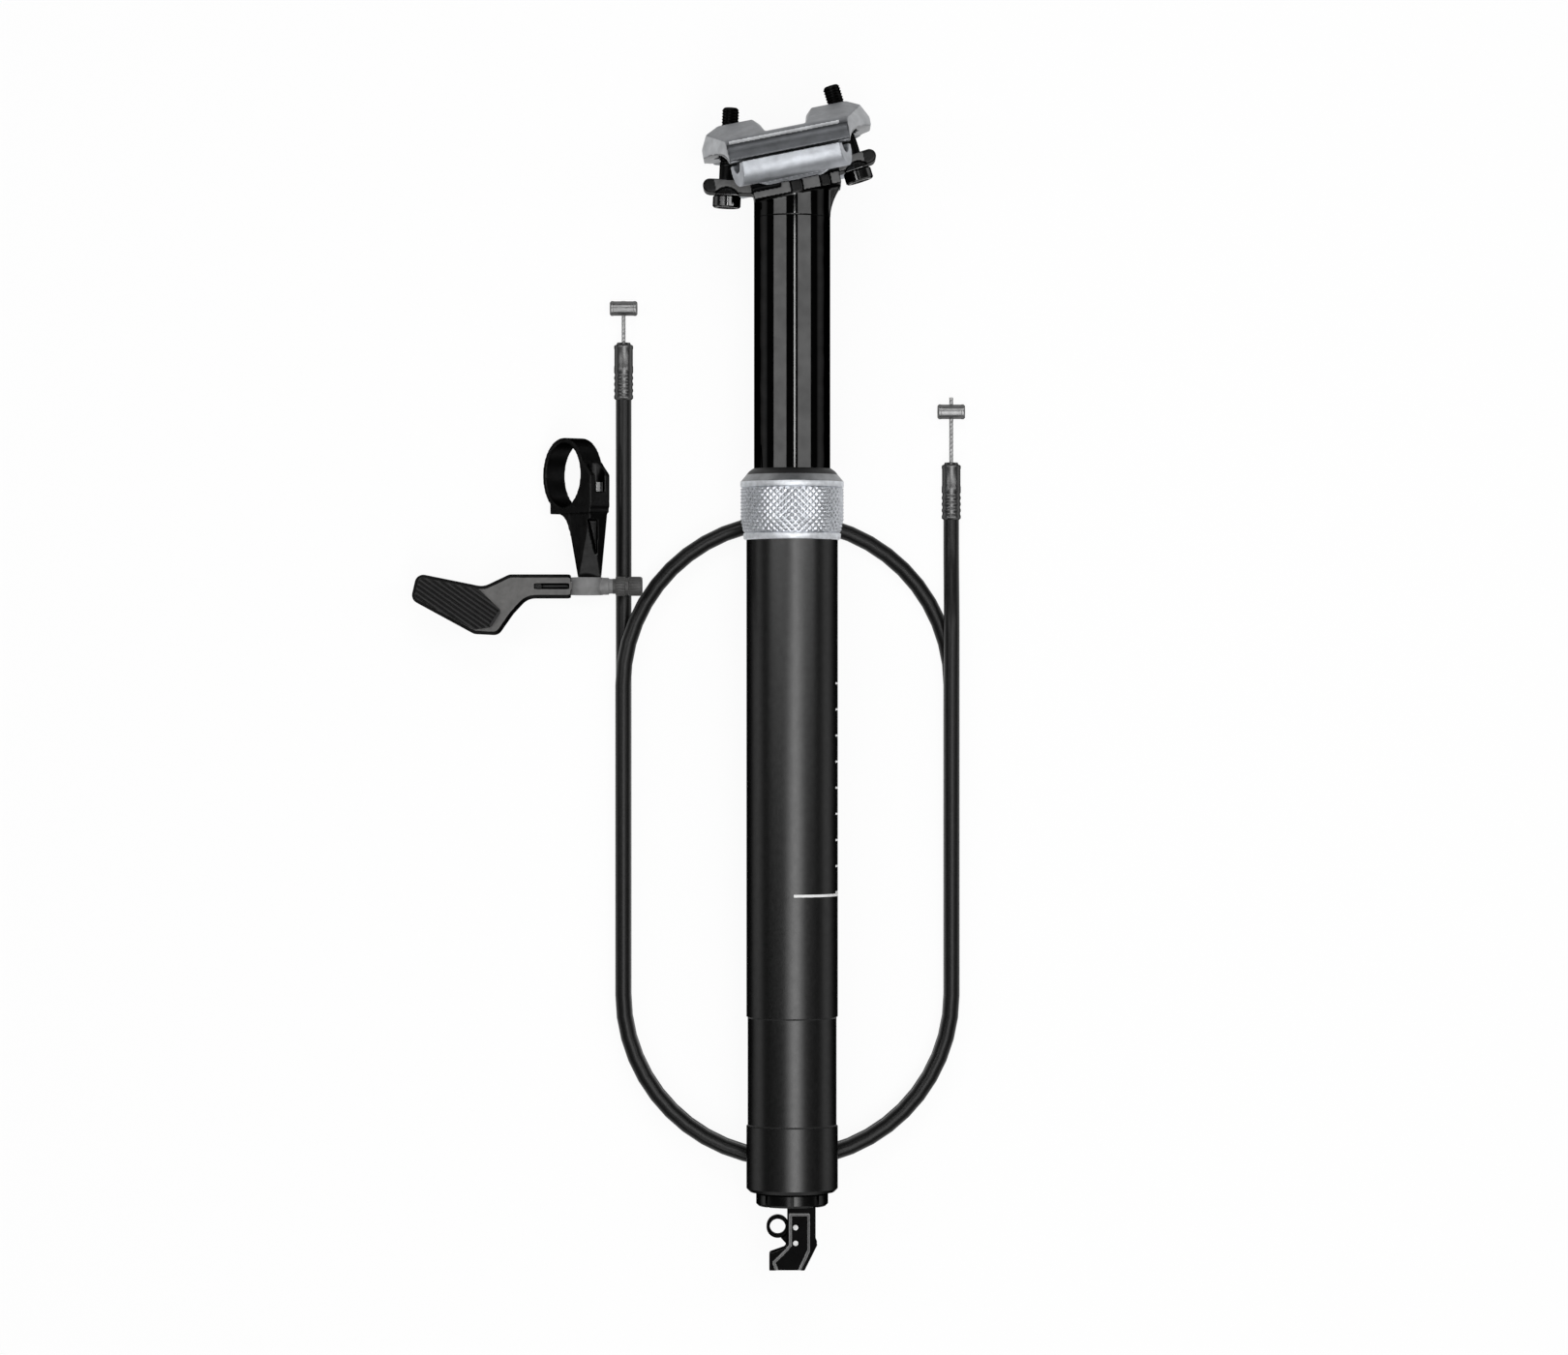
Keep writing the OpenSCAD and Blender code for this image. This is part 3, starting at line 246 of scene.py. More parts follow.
# Black finishes: hard anodising and paint that keep little gloss at their rims
TUBE_BLACK = finish("tube_black", grey(0.048), 0.32, metallic=1, rim=0.1, grain_mm=0.3, mottle=0.06,
                    bump_mm=0.006)
STANCHION_BLACK = finish("stanchion_black", grey(0.02), 0.06, metallic=1, rim=0.06, rough_vary=0.02,
                         bump_mm=0.001)
HEAD_BLACK = finish("head_black", grey(0.015), 0.3, metallic=1, rim=0.1, grain_mm=0.5, bump_mm=0.02)
BOLT_BLACK = finish("bolt_black", grey(0.08), 0.13, metallic=1, rim=0.1, grain_mm=0.3, bump_mm=0.001)
CAP_BLACK = finish("cap_black", grey(0.04), 0.22, metallic=1, rim=0, grain_mm=0.4)
FOOT_BLACK = finish("foot_black", grey(0.002), 0.34, metallic=1, rim=0.1, grain_mm=0.4)
REMOTE_BLACK = finish("remote_black", grey(0.02), 0.36, metallic=1, rim=0.1, grain_mm=0.4, bump_mm=0.015)
FERRULE_BLACK = finish("ferrule_black", grey(0.11), 0.34, metallic=1, rim=0, mottle=0.05, rough_vary=0.02,
                       bump_mm=0.001)
# Black rubber of the seals and bumper, also used as painted shade in the tube's band lines and the cap's
# notches
RUBBER_BLACK_AND_SHADE = finish("rubber_black", grey(0.008), 0.55, specular=0.3, grain_mm=0.4, bump_mm=0.02)
GRIP_BLACK = finish("grip_black", grey(0.005), 0.5, specular=0.2, grain_mm=0.3, bump_mm=0.02)
HOUSING_BLACK = finish("housing_black", grey(0.006), 0.34, specular=0.22, grain_mm=0.8, bump_mm=0.01)

# Bare and grey metals, bearing liner and print, and painted highlights and shade on the clamp, head, fork
# and pad
COLLAR_SILVER = finish("collar_silver", (0.58, 0.6, 0.635), 0.32, metallic=1, grain_mm=0.25, bump_mm=0.01)
COLLAR_BRIGHT = finish("collar_bright", (0.72, 0.74, 0.77), 0.58, metallic=1, grain_mm=0.25)
COLLAR_GREY = finish("collar_grey", (0.25, 0.255, 0.261), 0.45, metallic=1, grain_mm=0.4, bump_mm=0.01)
CLAMP_SILVER = finish("clamp_silver", (0.4, 0.415, 0.44), 0.5, metallic=1, grain_mm=0.5, bump_mm=0.015)
CLAMP_GREY_AND_SHADE = finish("clamp_grey", (0.18, 0.186, 0.196), 0.4, metallic=1, grain_mm=0.5, bump_mm=0.02)
CLAMP_END_HIGHLIGHT = finish("clamp_end_highlight", (0.38, 0.388, 0.4), 0.45, metallic=1, grain_mm=0.5, bump_mm=0.02)
CLAMP_SHADE = finish("clamp_shade", (0.075, 0.078, 0.083), 0.4, metallic=1, grain_mm=0.5, bump_mm=0.02)
CLAMP_HIGHLIGHT = finish("clamp_highlight", (0.72, 0.735, 0.755), 0.4, metallic=1, grain_mm=0.5, bump_mm=0.01)
HEAD_SHEEN = finish("head_sheen", grey(0.11), 0.45, specular=0.3, grain_mm=0.4, bump_mm=0.015)
BARREL_GREY = finish("barrel_grey", grey(0.043, 0.02), 0.42, specular=0.4, grain_mm=0.3, bump_mm=0.01)
LEVER_GREY = finish("lever_grey", grey(0.1, 0.02), 0.5, specular=0.3, grain_mm=0.3, bump_mm=0.012)
BLOCK_GREY = finish("block_grey", grey(0.17), 0.5, specular=0.3, grain_mm=0.3, bump_mm=0.012)
RIB_SHEEN = finish("rib_sheen", grey(0.018), 0.5, specular=0.2, grain_mm=0.3, bump_mm=0.02)
EDGE_HIGHLIGHT = finish("edge_highlight", grey(0.15), 0.5, specular=0.3, grain_mm=0.3, bump_mm=0.01)
INNER_STEEL = finish("inner_steel", grey(0.55), 0.25, metallic=1, stretch=(6, 1, 6))
WIRE_STEEL = finish("wire_steel", grey(0.32), 0.42, metallic=1, grain_mm=0.2)
NIPPLE_STEEL = finish("nipple_steel", grey(0.2), 0.36, metallic=1, rim=0, grain_mm=0.2, bump_mm=0.002)
KEY_BRASS = finish("key_brass", (0.6, 0.4, 0.13), 0.3, metallic=1)
BEARING_GREEN = finish("bearing_green", (0.035, 0.05, 0.038), 0.5, grain_mm=0.5)
MARK_WHITE = finish("mark_white", grey(0.75), 0.5, grain_mm=0.2, mottle=0.05)


def dress(obj, material, body=None):
    """Give an object a finish, and the body it rides on."""
    obj.data.materials.clear()
    obj.data.materials.append(material)
    if body:
        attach(obj, body)
    return obj


def dress_where(obj, material, test):
    """Give another finish to the faces whose centre, in millimetres, and normal pass a test."""
    obj.data.materials.append(material)
    last = len(obj.data.materials) - 1
    for face in obj.data.polygons:
        if test(face.center / MM, face.normal):
            face.material_index = last


def dress_node(node, material):
    """Give a CAD node that stays in view a finish."""
    for place in nodes[node].material_slots:
        place.material = material


# Cable: the route of the part's source, from the left ferrule to the right one
TABLE = -28.3
HOUSING_D = 5.5
FERRULE_D = 6.7
FERRULE_LEN = 20
COIL_X = -1.6
COIL_R = 57.4
COIL_TOP = -50.2
COIL_FOOT = -158.4
LAYER_1 = TABLE + HOUSING_D / 2 + 0.02
LAYER_2 = LAYER_1 + HOUSING_D + 0.6
FERRULE_Z = TABLE + FERRULE_D / 2 + 0.05
LEFT_END = 49.8
RIGHT_END = 7.8
LEFT_X = COIL_X - COIL_R
RIGHT_X = COIL_X + COIL_R
CLIMB_FROM, CLIMB_TO = 60, 165
SINK_FROM, SINK_TO = -32, 0
TAIL, TAIL_RAMP = 40, 30
ARC_STEP = 7.5
RUN_STEP = 12
RAMP_STEP = 4


def smooth(t):
    """A soft step from 0 to 1."""
    t = min(1, max(0, t))
    return t * t * (3 - 2 * t)


def blend_z(low, high, t):
    """A height on the soft ramp from a low one to a high one."""
    return low + (high - low) * smooth(t)


def arc(centre_y, start, height):
    """Half a turn of the coil from a start angle, at a height that depends on the angle."""
    points = []
    for a in spaced(start, start + 180, ARC_STEP):
        t = math.radians(a)
        points.append((COIL_X + COIL_R * math.cos(t), centre_y + COIL_R * math.sin(t), height(a)))
    return points


def run(x, start, stop, height, step=RUN_STEP):
    """A straight run of the coil along Y, without its last point."""
    return [(x, y, height(y)) for y in spaced(start, stop, step)[:-1]]


def cable_route():
    """The middle line of the housing: down the left side, one and a half turns, up to the right end."""
    def left_z(y):
        return blend_z(LAYER_1, FERRULE_Z, (y - LEFT_END + TAIL) / TAIL_RAMP)

    def climb_z(a):
        return blend_z(LAYER_1, LAYER_2, (a - CLIMB_FROM) / (CLIMB_TO - CLIMB_FROM))

    def right_z(y):
        return blend_z(LAYER_2, FERRULE_Z, (y - SINK_FROM) / (SINK_TO - SINK_FROM))

    def low(_):
        return LAYER_1

    def high(_):
        return LAYER_2

    route = run(LEFT_X, LEFT_END, LEFT_END - TAIL, left_z, RAMP_STEP)
    route += run(LEFT_X, LEFT_END - TAIL, COIL_FOOT, low)
    route += arc(COIL_FOOT, 180, low)[:-1]
    route += run(RIGHT_X, COIL_FOOT, COIL_TOP, low)
    route += arc(COIL_TOP, 0, climb_z)[:-1]
    route += run(LEFT_X, COIL_TOP, COIL_FOOT, high)
    route += arc(COIL_FOOT, 180, high)[:-1]
    route += run(RIGHT_X, COIL_FOOT, SINK_FROM, high)
    route += run(RIGHT_X, SINK_FROM, RIGHT_END, right_z, RAMP_STEP)
    route.append((RIGHT_X, RIGHT_END, FERRULE_Z))
    return [Vector(p) * MM for p in route]


def make_housing():
    route = cable_route()
    data = bpy.data.curves.new("housing", "CURVE")
    data.dimensions = "3D"
    data.bevel_depth = HOUSING_D / 2 * MM
    data.bevel_resolution = 6
    data.use_fill_caps = True
    spline = data.splines.new("POLY")
    spline.points.add(len(route) - 1)
    for point, place in zip(spline.points, route):
        point.co = (*place, 1)
    spline.use_smooth = True
    return dress(add_object("housing", data), HOUSING_BLACK, "cable")


def make_ferrule(name, node, x, y):
    """An end cap of the housing: ridges on its lower half, a smooth upper half and a lip."""
    r = FERRULE_D / 2
    groove, grooves = 0.22, 4
    first, pitch = 1.6, 2.2
    waist_r = r - 0.12
    waist_foot, waist_head = 12, 17.6
    band_foot, band_head = 11.4, 18
    shoulder, step, lip = FERRULE_LEN - 1.2, FERRULE_LEN - 0.9, FERRULE_LEN - 0.7
    lip_r, top_r = r - 0.8, r - 1.1
    hole_r = 1.0
    soft = 0.25
    profile = [(r - 2 * soft, 0), (r, 2 * soft)]
    for i in range(grooves):
        start = first + i * pitch
        profile += [(r, start - soft), (r - groove, start + soft), (r - groove, start + pitch / 2 - soft),
                    (r, start + pitch / 2 + soft)]
    profile += [(r, band_foot), (waist_r, waist_foot), (waist_r, waist_head), (r, band_head), (r, shoulder),
                (r - soft, step), (lip_r, lip), (top_r, FERRULE_LEN), (hole_r, FERRULE_LEN), (hole_r, 0)]
    piece = lathe(name, profile, along((x, y, FERRULE_Z), (0, 1, 0)), sides=48, closed=True)
    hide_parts(node)
    return dress(piece, FERRULE_BLACK, "cable")


WIRE_D = 1.4
WIRE_STRANDS = 6
WIRE_LAY = 9


def strands_at(station, depth):
    """The wire's outline at a station: a bulge for each strand."""
    def shape(a):
        return depth * abs(math.sin(WIRE_STRANDS / 2 * (a - TURN * station / WIRE_LAY)))

    return shape


def make_wire(name, node, body, x, start, stop):
    """A bare end of the wire, with its strands laid in a long twist."""
    depth = 0.16
    step = 0.3
    bare = [(WIRE_D / 2 - depth, s, strands_at(s, depth)) for s in spaced(0, stop - start, step)]
    piece = lathe(name, bare, along((x, start, FERRULE_Z), (0, 1, 0)), sides=60)
    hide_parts(node)
    return dress(piece, WIRE_STEEL, body)


NIPPLE_D = 5.2
NIPPLE_LEN = 9.6


def make_nipple(name, node, body, x, y):
    """A barrel nipple across the wire, turned with a shallow waist line at each end."""
    r = NIPPLE_D / 2
    half = NIPPLE_LEN / 2
    dimple_r, dimple_rim, dimple_deep = 0.5, 0.7, 0.35
    chamfer = 0.5
    rim, waist = 1.2, 1.3
    waist_deep = 0.08
    end = [(dimple_r, dimple_deep), (dimple_rim, 0), (r - chamfer, 0), (r, chamfer), (r, rim),
           (r - waist_deep, waist)]
    profile = [(radius, -half + inset) for radius, inset in end]
    profile += [(radius, half - inset) for radius, inset in reversed(end)]
    piece = lathe(name, profile, along((x, y, FERRULE_Z), (1, 0, 0)), sides=56)
    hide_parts(node)
    return dress(piece, NIPPLE_STEEL, body)


def make_cable():
    """The control cable: its housing is the cord, and its ends carry the ferrules, wires and nipples."""
    left_bare, right_bare = 9.4, 15.2
    left_depth, right_depth = 13.5, 6.8
    nub = 2.4
    housing = make_housing()
    left_top = LEFT_END + FERRULE_LEN
    right_top = RIGHT_END + FERRULE_LEN
    pieces = [
        make_ferrule("left_ferrule_turned", "left_ferrule", LEFT_X, LEFT_END),
        make_ferrule("right_ferrule_turned", "right_ferrule", RIGHT_X, RIGHT_END),
        make_wire("left_wire_laid", "left_wire", "left_wire", LEFT_X, left_top - left_depth,
                  left_top + left_bare + NIPPLE_D),
        make_wire("right_wire_laid", "right_wire", "right_wire", RIGHT_X, right_top - right_depth,
                  right_top + right_bare + NIPPLE_D + nub),
        make_nipple("left_nipple_turned", "left_nipple", "left_wire", LEFT_X,
                    left_top + left_bare + NIPPLE_D / 2),
        make_nipple("right_nipple_turned", "right_nipple", "right_wire", RIGHT_X,
                    right_top + right_bare + NIPPLE_D / 2),
    ]
    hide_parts("cable_housing")
    route = cable_route()


make_cable()


# Post
TUBE_R = 15.8
COLLAR_R = 17.9
COLLAR_FOOT_R = 16.7
COLLAR_H = 20.4
RIM_H = 2.2
BEVEL_H = 3.3
FLARE = 7
KNURL_DEPTH = 0.62
KNURLS = 48
POST_R = 13.2
WIPER_R = POST_R + 1.6
WIPER_H = 7
SEAL_R = 15.8
SEAL_Y = 22.5
THREAD_R = TUBE_R - 0.5
PROUD = 0.02
ALONG_POST = along((0, 0, 0), (0, 1, 0))


def knurl_at(station, fade):
    """A diamond knurl: two crossing sets of ridges, fading out at the rims."""
    pitch = TURN * COLLAR_R / KNURLS

    def shape(a):
        across = KNURLS * a / TURN
        up = station / pitch
        return KNURL_DEPTH * fade * min(wave(across + up), wave(across - up))

    return shape


def make_collar():
    """The collar: a knurl that flares from the foot, plain rims, and a bevel up to the wiper."""
    step = 0.2
    foot, head = RIM_H + step, COLLAR_H - RIM_H - step
    soft, crease = 0.35, 0.1
    fade_over = 0.5
    rim = COLLAR_H - RIM_H
    top = COLLAR_H + BEVEL_H
    profile = [(THREAD_R, 0), (COLLAR_FOOT_R - soft, 0), (COLLAR_FOOT_R, soft),
               (COLLAR_FOOT_R + step, RIM_H - soft), (COLLAR_FOOT_R + step - crease, RIM_H)]
    for s in spaced(foot, head, step):
        flare = min(1, (s - foot) / (FLARE - foot))
        r = COLLAR_FOOT_R - KNURL_DEPTH + step + flare * (COLLAR_R - COLLAR_FOOT_R - step)
        fade = smooth(min(s - foot, head - s) / fade_over)
        profile.append((r, s, knurl_at(s, fade)))
    profile += [(COLLAR_R - crease, rim), (COLLAR_R, rim + crease), (COLLAR_R, COLLAR_H - soft),
                (COLLAR_R - soft, COLLAR_H), (SEAL_R, SEAL_Y), (WIPER_R + step, top - step),
                (WIPER_R, top), (WIPER_R, top - WIPER_H), (THREAD_R, top - WIPER_H)]
    piece = lathe("knurled_collar", profile, ALONG_POST, sides=KNURLS * 10, closed=True, sharp_deg=60)
    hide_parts("collar")
    dress(piece, COLLAR_SILVER, "outer")
    bevel = COLLAR_H - soft / 2

    def on_rim(at, _):
        return at.xz.length > TUBE_R + soft and (at.y < RIM_H or rim < at.y < bevel)

    dress_where(piece, COLLAR_BRIGHT, on_rim)
    dress_where(piece, COLLAR_GREY, lambda at, _: bevel < at.y < SEAL_Y and at.xz.length > WIPER_R)
    dress_where(piece, RUBBER_BLACK_AND_SHADE, lambda at, _: SEAL_Y < at.y and at.xz.length > WIPER_R)


def make_tube_marks():
    """Plain printed marks on the tube: the least depth of insertion, and a ruler by its right edge."""
    line_y, line_w = -122.4, 0.9
    line_deg = (-80, 88)
    ticks, first_tick, tick_pitch, tick_w = 9, -49.5, 9, 0.7
    tick_deg = (2, 19)
    step_deg = 3
    r = TUBE_R + PROUD
    bm = bmesh.new()

    def band(y, height, span_deg):
        rows = []
        for a in spaced(*span_deg, step_deg):
            t = math.radians(a)
            rows.append([bm.verts.new(Vector((r * math.cos(t), y + dy, r * math.sin(t))) * MM)
                         for dy in (-height / 2, height / 2)])
        for p, q in zip(rows, rows[1:]):
            bm.faces.new((p[0], q[0], q[1], p[1]))

    band(line_y, line_w, line_deg)
    for i in range(ticks):
        band(first_tick - tick_pitch * i, tick_w, tick_deg)
    dress(add_mesh("tube_marks", bm), MARK_WHITE, "outer")


def make_band_shade():
    """Painted shade: a thin dark ring at each end of the band that is turned into the tube, standing for
    the shadow of a groove there.
    """
    band_head, band_foot = -164.5, -202.3
    deep = 0.45
    half = 0.3
    r = TUBE_R - deep
    profile = [(r - PROUD, -half), (r + PROUD, -half), (r + PROUD, half), (r - PROUD, half)]
    for name, y in (("band_shade_upper", band_head - half), ("band_shade_lower", band_foot + half)):
        line = lathe(name, profile, along((0, y, 0), (0, 1, 0)), closed=True)
        # painted shade: the ring is black to stand for the groove's shadow, not for a dark part
        dress(line, RUBBER_BLACK_AND_SHADE, "outer")


# The raised border of the fork's cheeks ends along this line, seen from above
BORDER = [(2.5, -251.8), (5.7, -245), (5.7, -232.6), (-0.6, -232.6), (-0.6, -243.2), (-3.3, -246.2),
          (-6.3, -249), (-5.3, -251.8)]
BORDER_Z = 4.4


def from_line(point, line):
    """The distance of a point from a line of straight pieces."""
    least = math.inf
    for a, b in zip(line, line[1:]):
        near, share = intersect_point_line(point, Vector(a), Vector(b))
        if share < 0 or share > 1:
            near = Vector(a) if share < 0 else Vector(b)
        least = min(least, (Vector(point) - near.xy).length)
    return least


def make_foot():
    """The fork and the cap: a painted highlight runs along the edges of the fork's borders, and painted
    shade fills the cap's notches.
    """
    edge = 0.5
    notch_r = 11.95
    foot, head = -229.6, -225.2
    fork = dress(rounded("actuator_bracket", voxel_mm=0.2, passes=4), FOOT_BLACK, "outer")
    # painted highlight: a light line along the fork's raised borders, where their rounded edge catches the
    # light
    dress_where(fork, EDGE_HIGHLIGHT, lambda at, _: abs(at.z) > BORDER_Z and from_line(at.xy, BORDER) < edge)
    dress_node("end_cap", CAP_BLACK)
    # painted shade: the faces inside the cap's notches are painted black
    dress_where(nodes["end_cap"], RUBBER_BLACK_AND_SHADE, lambda at, _: foot < at.y < head and at.xz.length < notch_r)
    dress(rounded("actuator_arm", voxel_mm=0.2, passes=4), FOOT_BLACK, "actuator_arm")
    dress(softened("nipple_ring", width=0.3), FOOT_BLACK, "actuator_arm")
    dress_node("actuator_pins", WIRE_STEEL)


make_collar()
make_tube_marks()
make_band_shade()
make_foot()
dress_node("outer_tube", TUBE_BLACK)
dress_node("stanchion", STANCHION_BLACK)
dress_node("wiper_seal", RUBBER_BLACK_AND_SHADE)
for name in ("upper_bush", "lower_bush"):
    dress_node(name, BEARING_GREEN)
for name in ("cartridge_body", "cartridge_rod", "rod_piston", "rod_nut", "circlip", "valve_pin"):
    dress_node(name, INNER_STEEL)
dress_node("guide_keys", KEY_BRASS)
dress_node("top_out_bumper", RUBBER_BLACK_AND_SHADE)

# Saddle clamp
HEAD_AT = Matrix.Translation(Vector((-1, 127.1, 0)) * MM) @ Matrix.Rotation(math.radians(11.2), 4, "Z")
BOLT_REACH = 23.2
BOLT_Y = -6
BOLT_R = 3
BOLT_LEN = 32.6
BOLT_HEAD_R = 4.85
BOLT_HEAD_H = 4
THREAD_PITCH = 1
THREAD_DEPTH = 0.4
SOCKET_FLAT = 2.5


def in_head(at):
    """A point, in millimetres, in the frame of the head."""
    return HEAD_AT.inverted() @ (at * MM) / MM


def thread_at(station, depth):
    """A helical groove at a station of the bolt."""
    def shape(a):
        return -depth * wave(station / THREAD_PITCH - a / TURN)

    return shape


def flutes(count, depth):
    """Grooves along a turned piece, for the grip."""
    def shape(a):
        return -depth * wave(count * a / TURN)

    return shape


def hexagon(flat):
    """The length to add to a circle's radius for a hexagon outside it."""
    def shape(a):
        return flat / math.cos((a % (TURN / 6)) - TURN / 12) - flat

    return shape


def make_bolt(name, node, side, lean_deg):
    """A clamp bolt: a round head with a hexagon socket, a plain shank and a threaded end."""
    half = BOLT_HEAD_H / 2
    plain = 12
    edge, crease = 0.5, 0.1
    under, under_h = 0.3, 0.4
    socket = hexagon(SOCKET_FLAT)
    socket_floor, socket_centre = half - 1, 0.4
    mouth, mouth_deep = 0.7, 0.3
    run_in = 2
    thread_from, thread_to = plain + 0.1, BOLT_LEN - 0.8
    profile = [(socket_centre, socket_floor), (SOCKET_FLAT, socket_floor, socket),
               (SOCKET_FLAT, -half + mouth_deep, socket), (SOCKET_FLAT + mouth, -half),
               (BOLT_HEAD_R - edge, -half), (BOLT_HEAD_R - crease, -half + edge - crease),
               (BOLT_HEAD_R, -half + edge), (BOLT_HEAD_R, half - under_h),
               (BOLT_HEAD_R - under, half), (BOLT_R, half), (BOLT_R, plain)]
    profile += [(BOLT_R, s, thread_at(s, THREAD_DEPTH * min(1, (s - plain) / run_in)))
                for s in spaced(thread_from, thread_to, THREAD_PITCH / 6)]
    profile += [(BOLT_R - 0.5, BOLT_LEN - 0.3), (BOLT_R - 0.9, BOLT_LEN)]
    lean = Matrix.Rotation(math.radians(lean_deg), 4, "Z")
    seat = Matrix.Translation(Vector((side * BOLT_REACH, BOLT_Y, 0)) * MM)
    piece = lathe(name, profile, HEAD_AT @ seat @ lean @ ALONG_POST, sides=60)
    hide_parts(node)
    dress(piece, BOLT_BLACK, node)
    dress_where(piece, HEAD_BLACK, lambda at, _: in_head(at).y > BOLT_Y + BOLT_HEAD_H)


def make_head():
    """The head: its flats that face up and down carry a painted sheen of lighter grey, and its neck is as
    glossy as the stanchion.
    """
    flange_foot = -8.3
    flange_front, flange_rear = -13.8, 16.6
    flange_z, wing_z = 14.6, 6.5
    round_end = 26
    skin = 0.4
    facing_up, off_upright = 0.9, 0.15
    head = dress(rounded("post_head", voxel_mm=0.3, passes=5), HEAD_BLACK, "inner_post")

    def flat(at, normal):
        x = in_head(at).x
        high = flange_z if flange_front < x < flange_rear else wing_z
        return abs(normal.z) > facing_up and abs(x) < round_end and abs(at.z) > high - skin

    def neck(at, normal):
        below = in_head(at).y < flange_foot - skin
        return below and abs(normal.y) < off_upright and abs(at.xz.length - POST_R) < skin

    # painted sheen: the flats facing up and down are painted lighter grey for the light they catch
    dress_where(head, HEAD_SHEEN, flat)
    dress_where(head, STANCHION_BLACK, neck)


def make_lower_cradle():
    """The lower half of the clamp: painted shade on its block between the bars, where the bars overhang it.
    """
    block_top = -3
    block_z = 15.6
    cradle = rounded("lower_cradle", voxel_mm=0.35, passes=5)
    dress(cradle, CLAMP_SILVER, "saddle_clamp")
    # painted shade: the block under the bars takes the darker grey of the upper clamp
    dress_where(cradle, CLAMP_GREY_AND_SHADE, lambda at, _: in_head(at).y < block_top and abs(at.z) < block_z)


def make_upper_clamp():
    """The upper half of the clamp: painted shade on the bars' sides below a painted highlight along their
    top edge, and a painted highlight on the end faces.
    """
    ahead = (HEAD_AT.to_3x3() @ Vector((1, 0, 0))).normalized()
    bar_z = 22
    bar_x = (-19.6, 22)
    edge_x = (-18.8, 19.4)
    edge_low, edge_high = 10.4, 11.6
    end_face = 0.75
    clamp = rounded("upper_clamp", voxel_mm=0.35, passes=8)
    dress(clamp, CLAMP_GREY_AND_SHADE, "saddle_clamp")

    def shaded_side(at, _):
        at = in_head(at)
        return abs(at.z) > bar_z and bar_x[0] < at.x < bar_x[1] and at.y <= edge_low

    def highlight_line(at, _):
        at = in_head(at)
        return abs(at.z) > bar_z and edge_x[0] < at.x < edge_x[1] and edge_low < at.y < edge_high

    # painted shade: the bars' sides below the top edge are painted darker
    dress_where(clamp, CLAMP_SHADE, shaded_side)
    # painted highlight: a bright line along the bars' rounded top edge
    dress_where(clamp, CLAMP_HIGHLIGHT, highlight_line)
    # painted highlight: the end faces are painted lighter than the rest of the clamp
    dress_where(clamp, CLAMP_END_HIGHLIGHT, lambda _, normal: abs(normal.dot(ahead)) > end_face)


make_bolt("front_bolt_turned", "front_bolt", side=-1, lean_deg=-13.7)
make_bolt("rear_bolt_turned", "rear_bolt", side=1, lean_deg=6)
make_head()
make_lower_cradle()
make_upper_clamp()
for end in ("front", "rear"):
    dress(softened(end + "_washer", width=0.2), BOLT_BLACK, end + "_bolt")
    dress(softened(end + "_nut", width=0.3), INNER_STEEL, end + "_nut")

# Remote
PIVOT = (-71.5, -15.75, -13)
NECK_END = PIVOT[0] + 9.9
BARREL_R = 3.35
BARREL_LEN = 10.3
BARREL_SEAT = 0.8
LEVER_TOP = PIVOT[2] + 2


def make_barrel():
    """The adjuster: two fluted bands with a plain waist, and the socket of the housing."""
    bore, bore_floor = 2.8, 4
    hole = 0.9
    seat_r, seat_h, step_r = 2.66, 1, 2.9
    waist = BARREL_R - 0.35
    waist_foot, waist_head = 4.5, 5.5
    foot_soft, head_soft = 0.2, 0.15
    rim, rim_h = 0.4, 0.3
    grip = flutes(24, 0.2)
    profile = [(hole, 0), (seat_r, 0), (seat_r, seat_h), (step_r, seat_h), (BARREL_R - foot_soft, seat_h),
               (BARREL_R, 1.3, grip), (BARREL_R, 4.2, grip), (waist, waist_foot), (waist, waist_head),
               (BARREL_R, 5.8, grip), (BARREL_R, BARREL_LEN - 0.8, grip),
               (BARREL_R - head_soft, BARREL_LEN - rim_h), (BARREL_R - rim, BARREL_LEN),
               (bore, BARREL_LEN), (bore, bore_floor), (hole, bore_floor)]
    place = along((NECK_END - BARREL_SEAT, PIVOT[1], PIVOT[2]), (1, 0, 0))
    piece = lathe("barrel_turned", profile, place, sides=96, closed=True)
    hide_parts("barrel_adjuster")
    dress(piece, BARREL_GREY, "barrel_adjuster")


def make_lever():
    """The lever, with a light top face, and its pad, with a painted highlight on the tops of its ribs."""
    facing_up = 0.93
    skin = 0.3
    rib_top = 1.48
    lever = dress(rounded("thumb_lever", voxel_mm=0.25, passes=10), LEVER_GREY, "thumb_lever")
    dress_where(lever, REMOTE_BLACK, lambda at, normal: normal.z < facing_up or at.z < LEVER_TOP - skin)
    pad = dress(rounded("thumb_pad", voxel_mm=0.15, passes=3), GRIP_BLACK, "thumb_lever")
    # painted highlight: the rib tops are painted lighter for the light they catch
    dress_where(pad, RIB_SHEEN, lambda at, _: at.z > LEVER_TOP + rib_top)


make_barrel()
dress(rounded("bar_clamp", voxel_mm=0.3, passes=5), REMOTE_BLACK, "remote")
dress(rounded("remote_body", voxel_mm=0.15, passes=4), BLOCK_GREY, "remote")
make_lever()
dress_node("cable_screw", REMOTE_BLACK)
for name in ("clamp_bolt", "pivot_bolt"):
    dress_node(name, BOLT_BLACK)


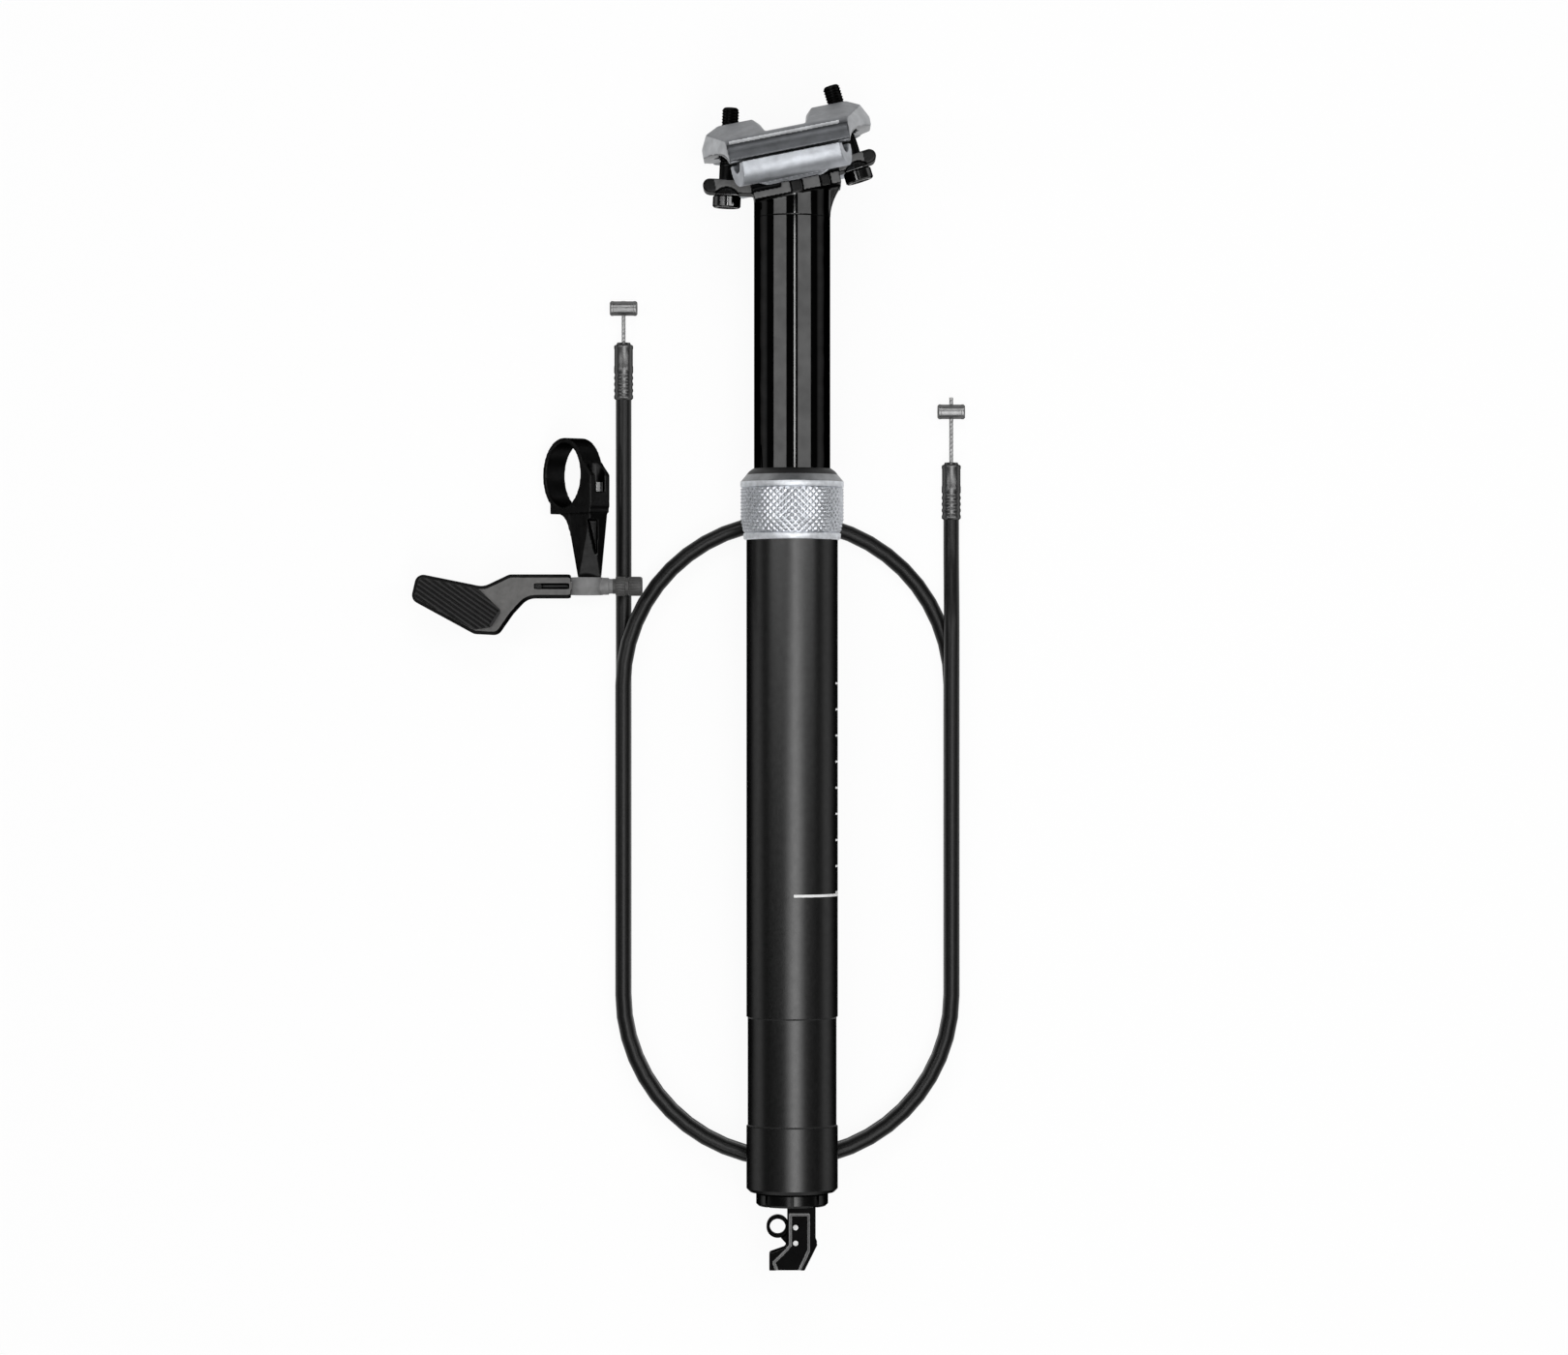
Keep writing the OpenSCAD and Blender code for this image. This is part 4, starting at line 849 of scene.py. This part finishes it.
# Stage: a pale floor, a studio that is dark overhead, and soft panels
def seen_rays(tree):
    """1 for a ray of the camera, of a gloss or through glass, and 0 for the rest."""
    path = tree.nodes.new("ShaderNodeLightPath")
    total = path.outputs["Is Camera Ray"]
    for name in ("Is Glossy Ray", "Is Transmission Ray"):
        add = tree.nodes.new("ShaderNodeMath")
        add.operation = "MAXIMUM"
        link(tree, total, add.inputs[0])
        link(tree, path.outputs[name], add.inputs[1])
        total = add.outputs[0]
    return total


def make_floor():
    """A floor just under the part: it catches the shadows, and is near white to the camera and in gloss."""
    size = 12
    pale = 0.9
    white_share = 0.92
    bm = bmesh.new()
    low = cad_box[0].z - PROUD * MM
    bmesh.ops.create_grid(bm, x_segments=1, y_segments=1, size=size / 2)
    bmesh.ops.translate(bm, verts=bm.verts, vec=(0, 0, low))
    floor = add_mesh("floor", bm)
    material = bpy.data.materials.new("floor_pale")
    material.use_nodes = True
    tree = material.node_tree
    tree.nodes.clear()
    out = tree.nodes.new("ShaderNodeOutputMaterial")
    mix = tree.nodes.new("ShaderNodeMixShader")
    lit = tree.nodes.new("ShaderNodeBsdfDiffuse")
    lit.inputs["Color"].default_value = (pale, pale, pale, 1)
    white = tree.nodes.new("ShaderNodeEmission")
    share = tree.nodes.new("ShaderNodeMath")
    share.operation = "MULTIPLY"
    share.inputs[1].default_value = white_share
    link(tree, seen_rays(tree), share.inputs[0])
    link(tree, share.outputs[0], mix.inputs["Fac"])
    link(tree, lit.outputs[0], mix.inputs[1])
    link(tree, white.outputs[0], mix.inputs[2])
    link(tree, mix.outputs[0], out.inputs["Surface"])
    floor.data.materials.append(material)


def make_world():
    """A studio with pale walls low down and a dark ceiling."""
    wall, ceiling = 0.8, 0.06
    wall_to, ceiling_from = 0.04, 0.2
    world = bpy.data.worlds.new("studio")
    bpy.context.scene.world = world
    world.use_nodes = True
    tree = world.node_tree
    place = tree.nodes.new("ShaderNodeTexCoord")
    split = tree.nodes.new("ShaderNodeSeparateXYZ")
    fall = tree.nodes.new("ShaderNodeMapRange")
    fall.interpolation_type = "SMOOTHSTEP"
    fall.inputs["From Min"].default_value = wall_to
    fall.inputs["From Max"].default_value = ceiling_from
    fall.inputs["To Min"].default_value = wall
    fall.inputs["To Max"].default_value = ceiling
    link(tree, place.outputs["Generated"], split.inputs[0])
    link(tree, split.outputs["Z"], fall.inputs["Value"])
    link(tree, fall.outputs["Result"], tree.nodes["Background"].inputs["Strength"])
    tree.nodes["Background"].inputs["Color"].default_value = (1, 1, 1, 1)


def make_panel(name, centre, target, width, length, radiance):
    """A soft panel, as bright as a radiance, that faces a target; its width lies across the post."""
    out = (Vector(centre) - Vector(target)).normalized()
    across = Vector((0, 1, 0)).cross(out).normalized()
    turn = Matrix((across, out.cross(across), out)).transposed()
    data = bpy.data.lights.new(name, "AREA")
    data.shape = "RECTANGLE"
    data.size = width * MM
    data.size_y = length * MM
    data.energy = radiance * math.pi * data.size * data.size_y
    panel = bpy.data.objects.new(name, data)
    panel.matrix_world = Matrix.Translation(Vector(centre) * MM) @ turn.to_4x4()
    panel.visible_camera = False
    bpy.context.collection.objects.link(panel)


def make_lights():
    """Two panels and a strip that the stanchion mirrors, boxes over the tube, and panels past both ends."""
    stanchion_y, tube_y, low_y = 147, -165, -590
    side, top = 670, 880
    over_x, over_z = 150, 1100
    over_core = over_z - 10
    middle = (0, 0, 0)
    make_panel("panel_left", (-side, stanchion_y, top), (0, stanchion_y, 0),
               width=800, length=177, radiance=5.1)
    make_panel("panel_right", (side, stanchion_y, top), (0, stanchion_y, 0),
               width=820, length=177, radiance=5.1)
    make_panel("strip", (170, 150, 1300), (0, 150, 0),
               width=100, length=155, radiance=21)
    make_panel("box_tube", (over_x, tube_y, over_z), (over_x, tube_y, 0),
               width=900, length=400, radiance=1.9)
    make_panel("box_core", (over_x, tube_y, over_core), (over_x, tube_y, 0),
               width=440, length=400, radiance=2.6)
    make_panel("box_low", (over_x, low_y, over_z), (over_x, low_y, 0),
               width=420, length=440, radiance=4.4)
    make_panel("panel_far", (0, 850, 1000), middle,
               width=700, length=450, radiance=4.2)
    make_panel("panel_near", (-100, -1000, 1000), middle,
               width=700, length=400, radiance=3.6)


make_floor()
make_world()
make_lights()
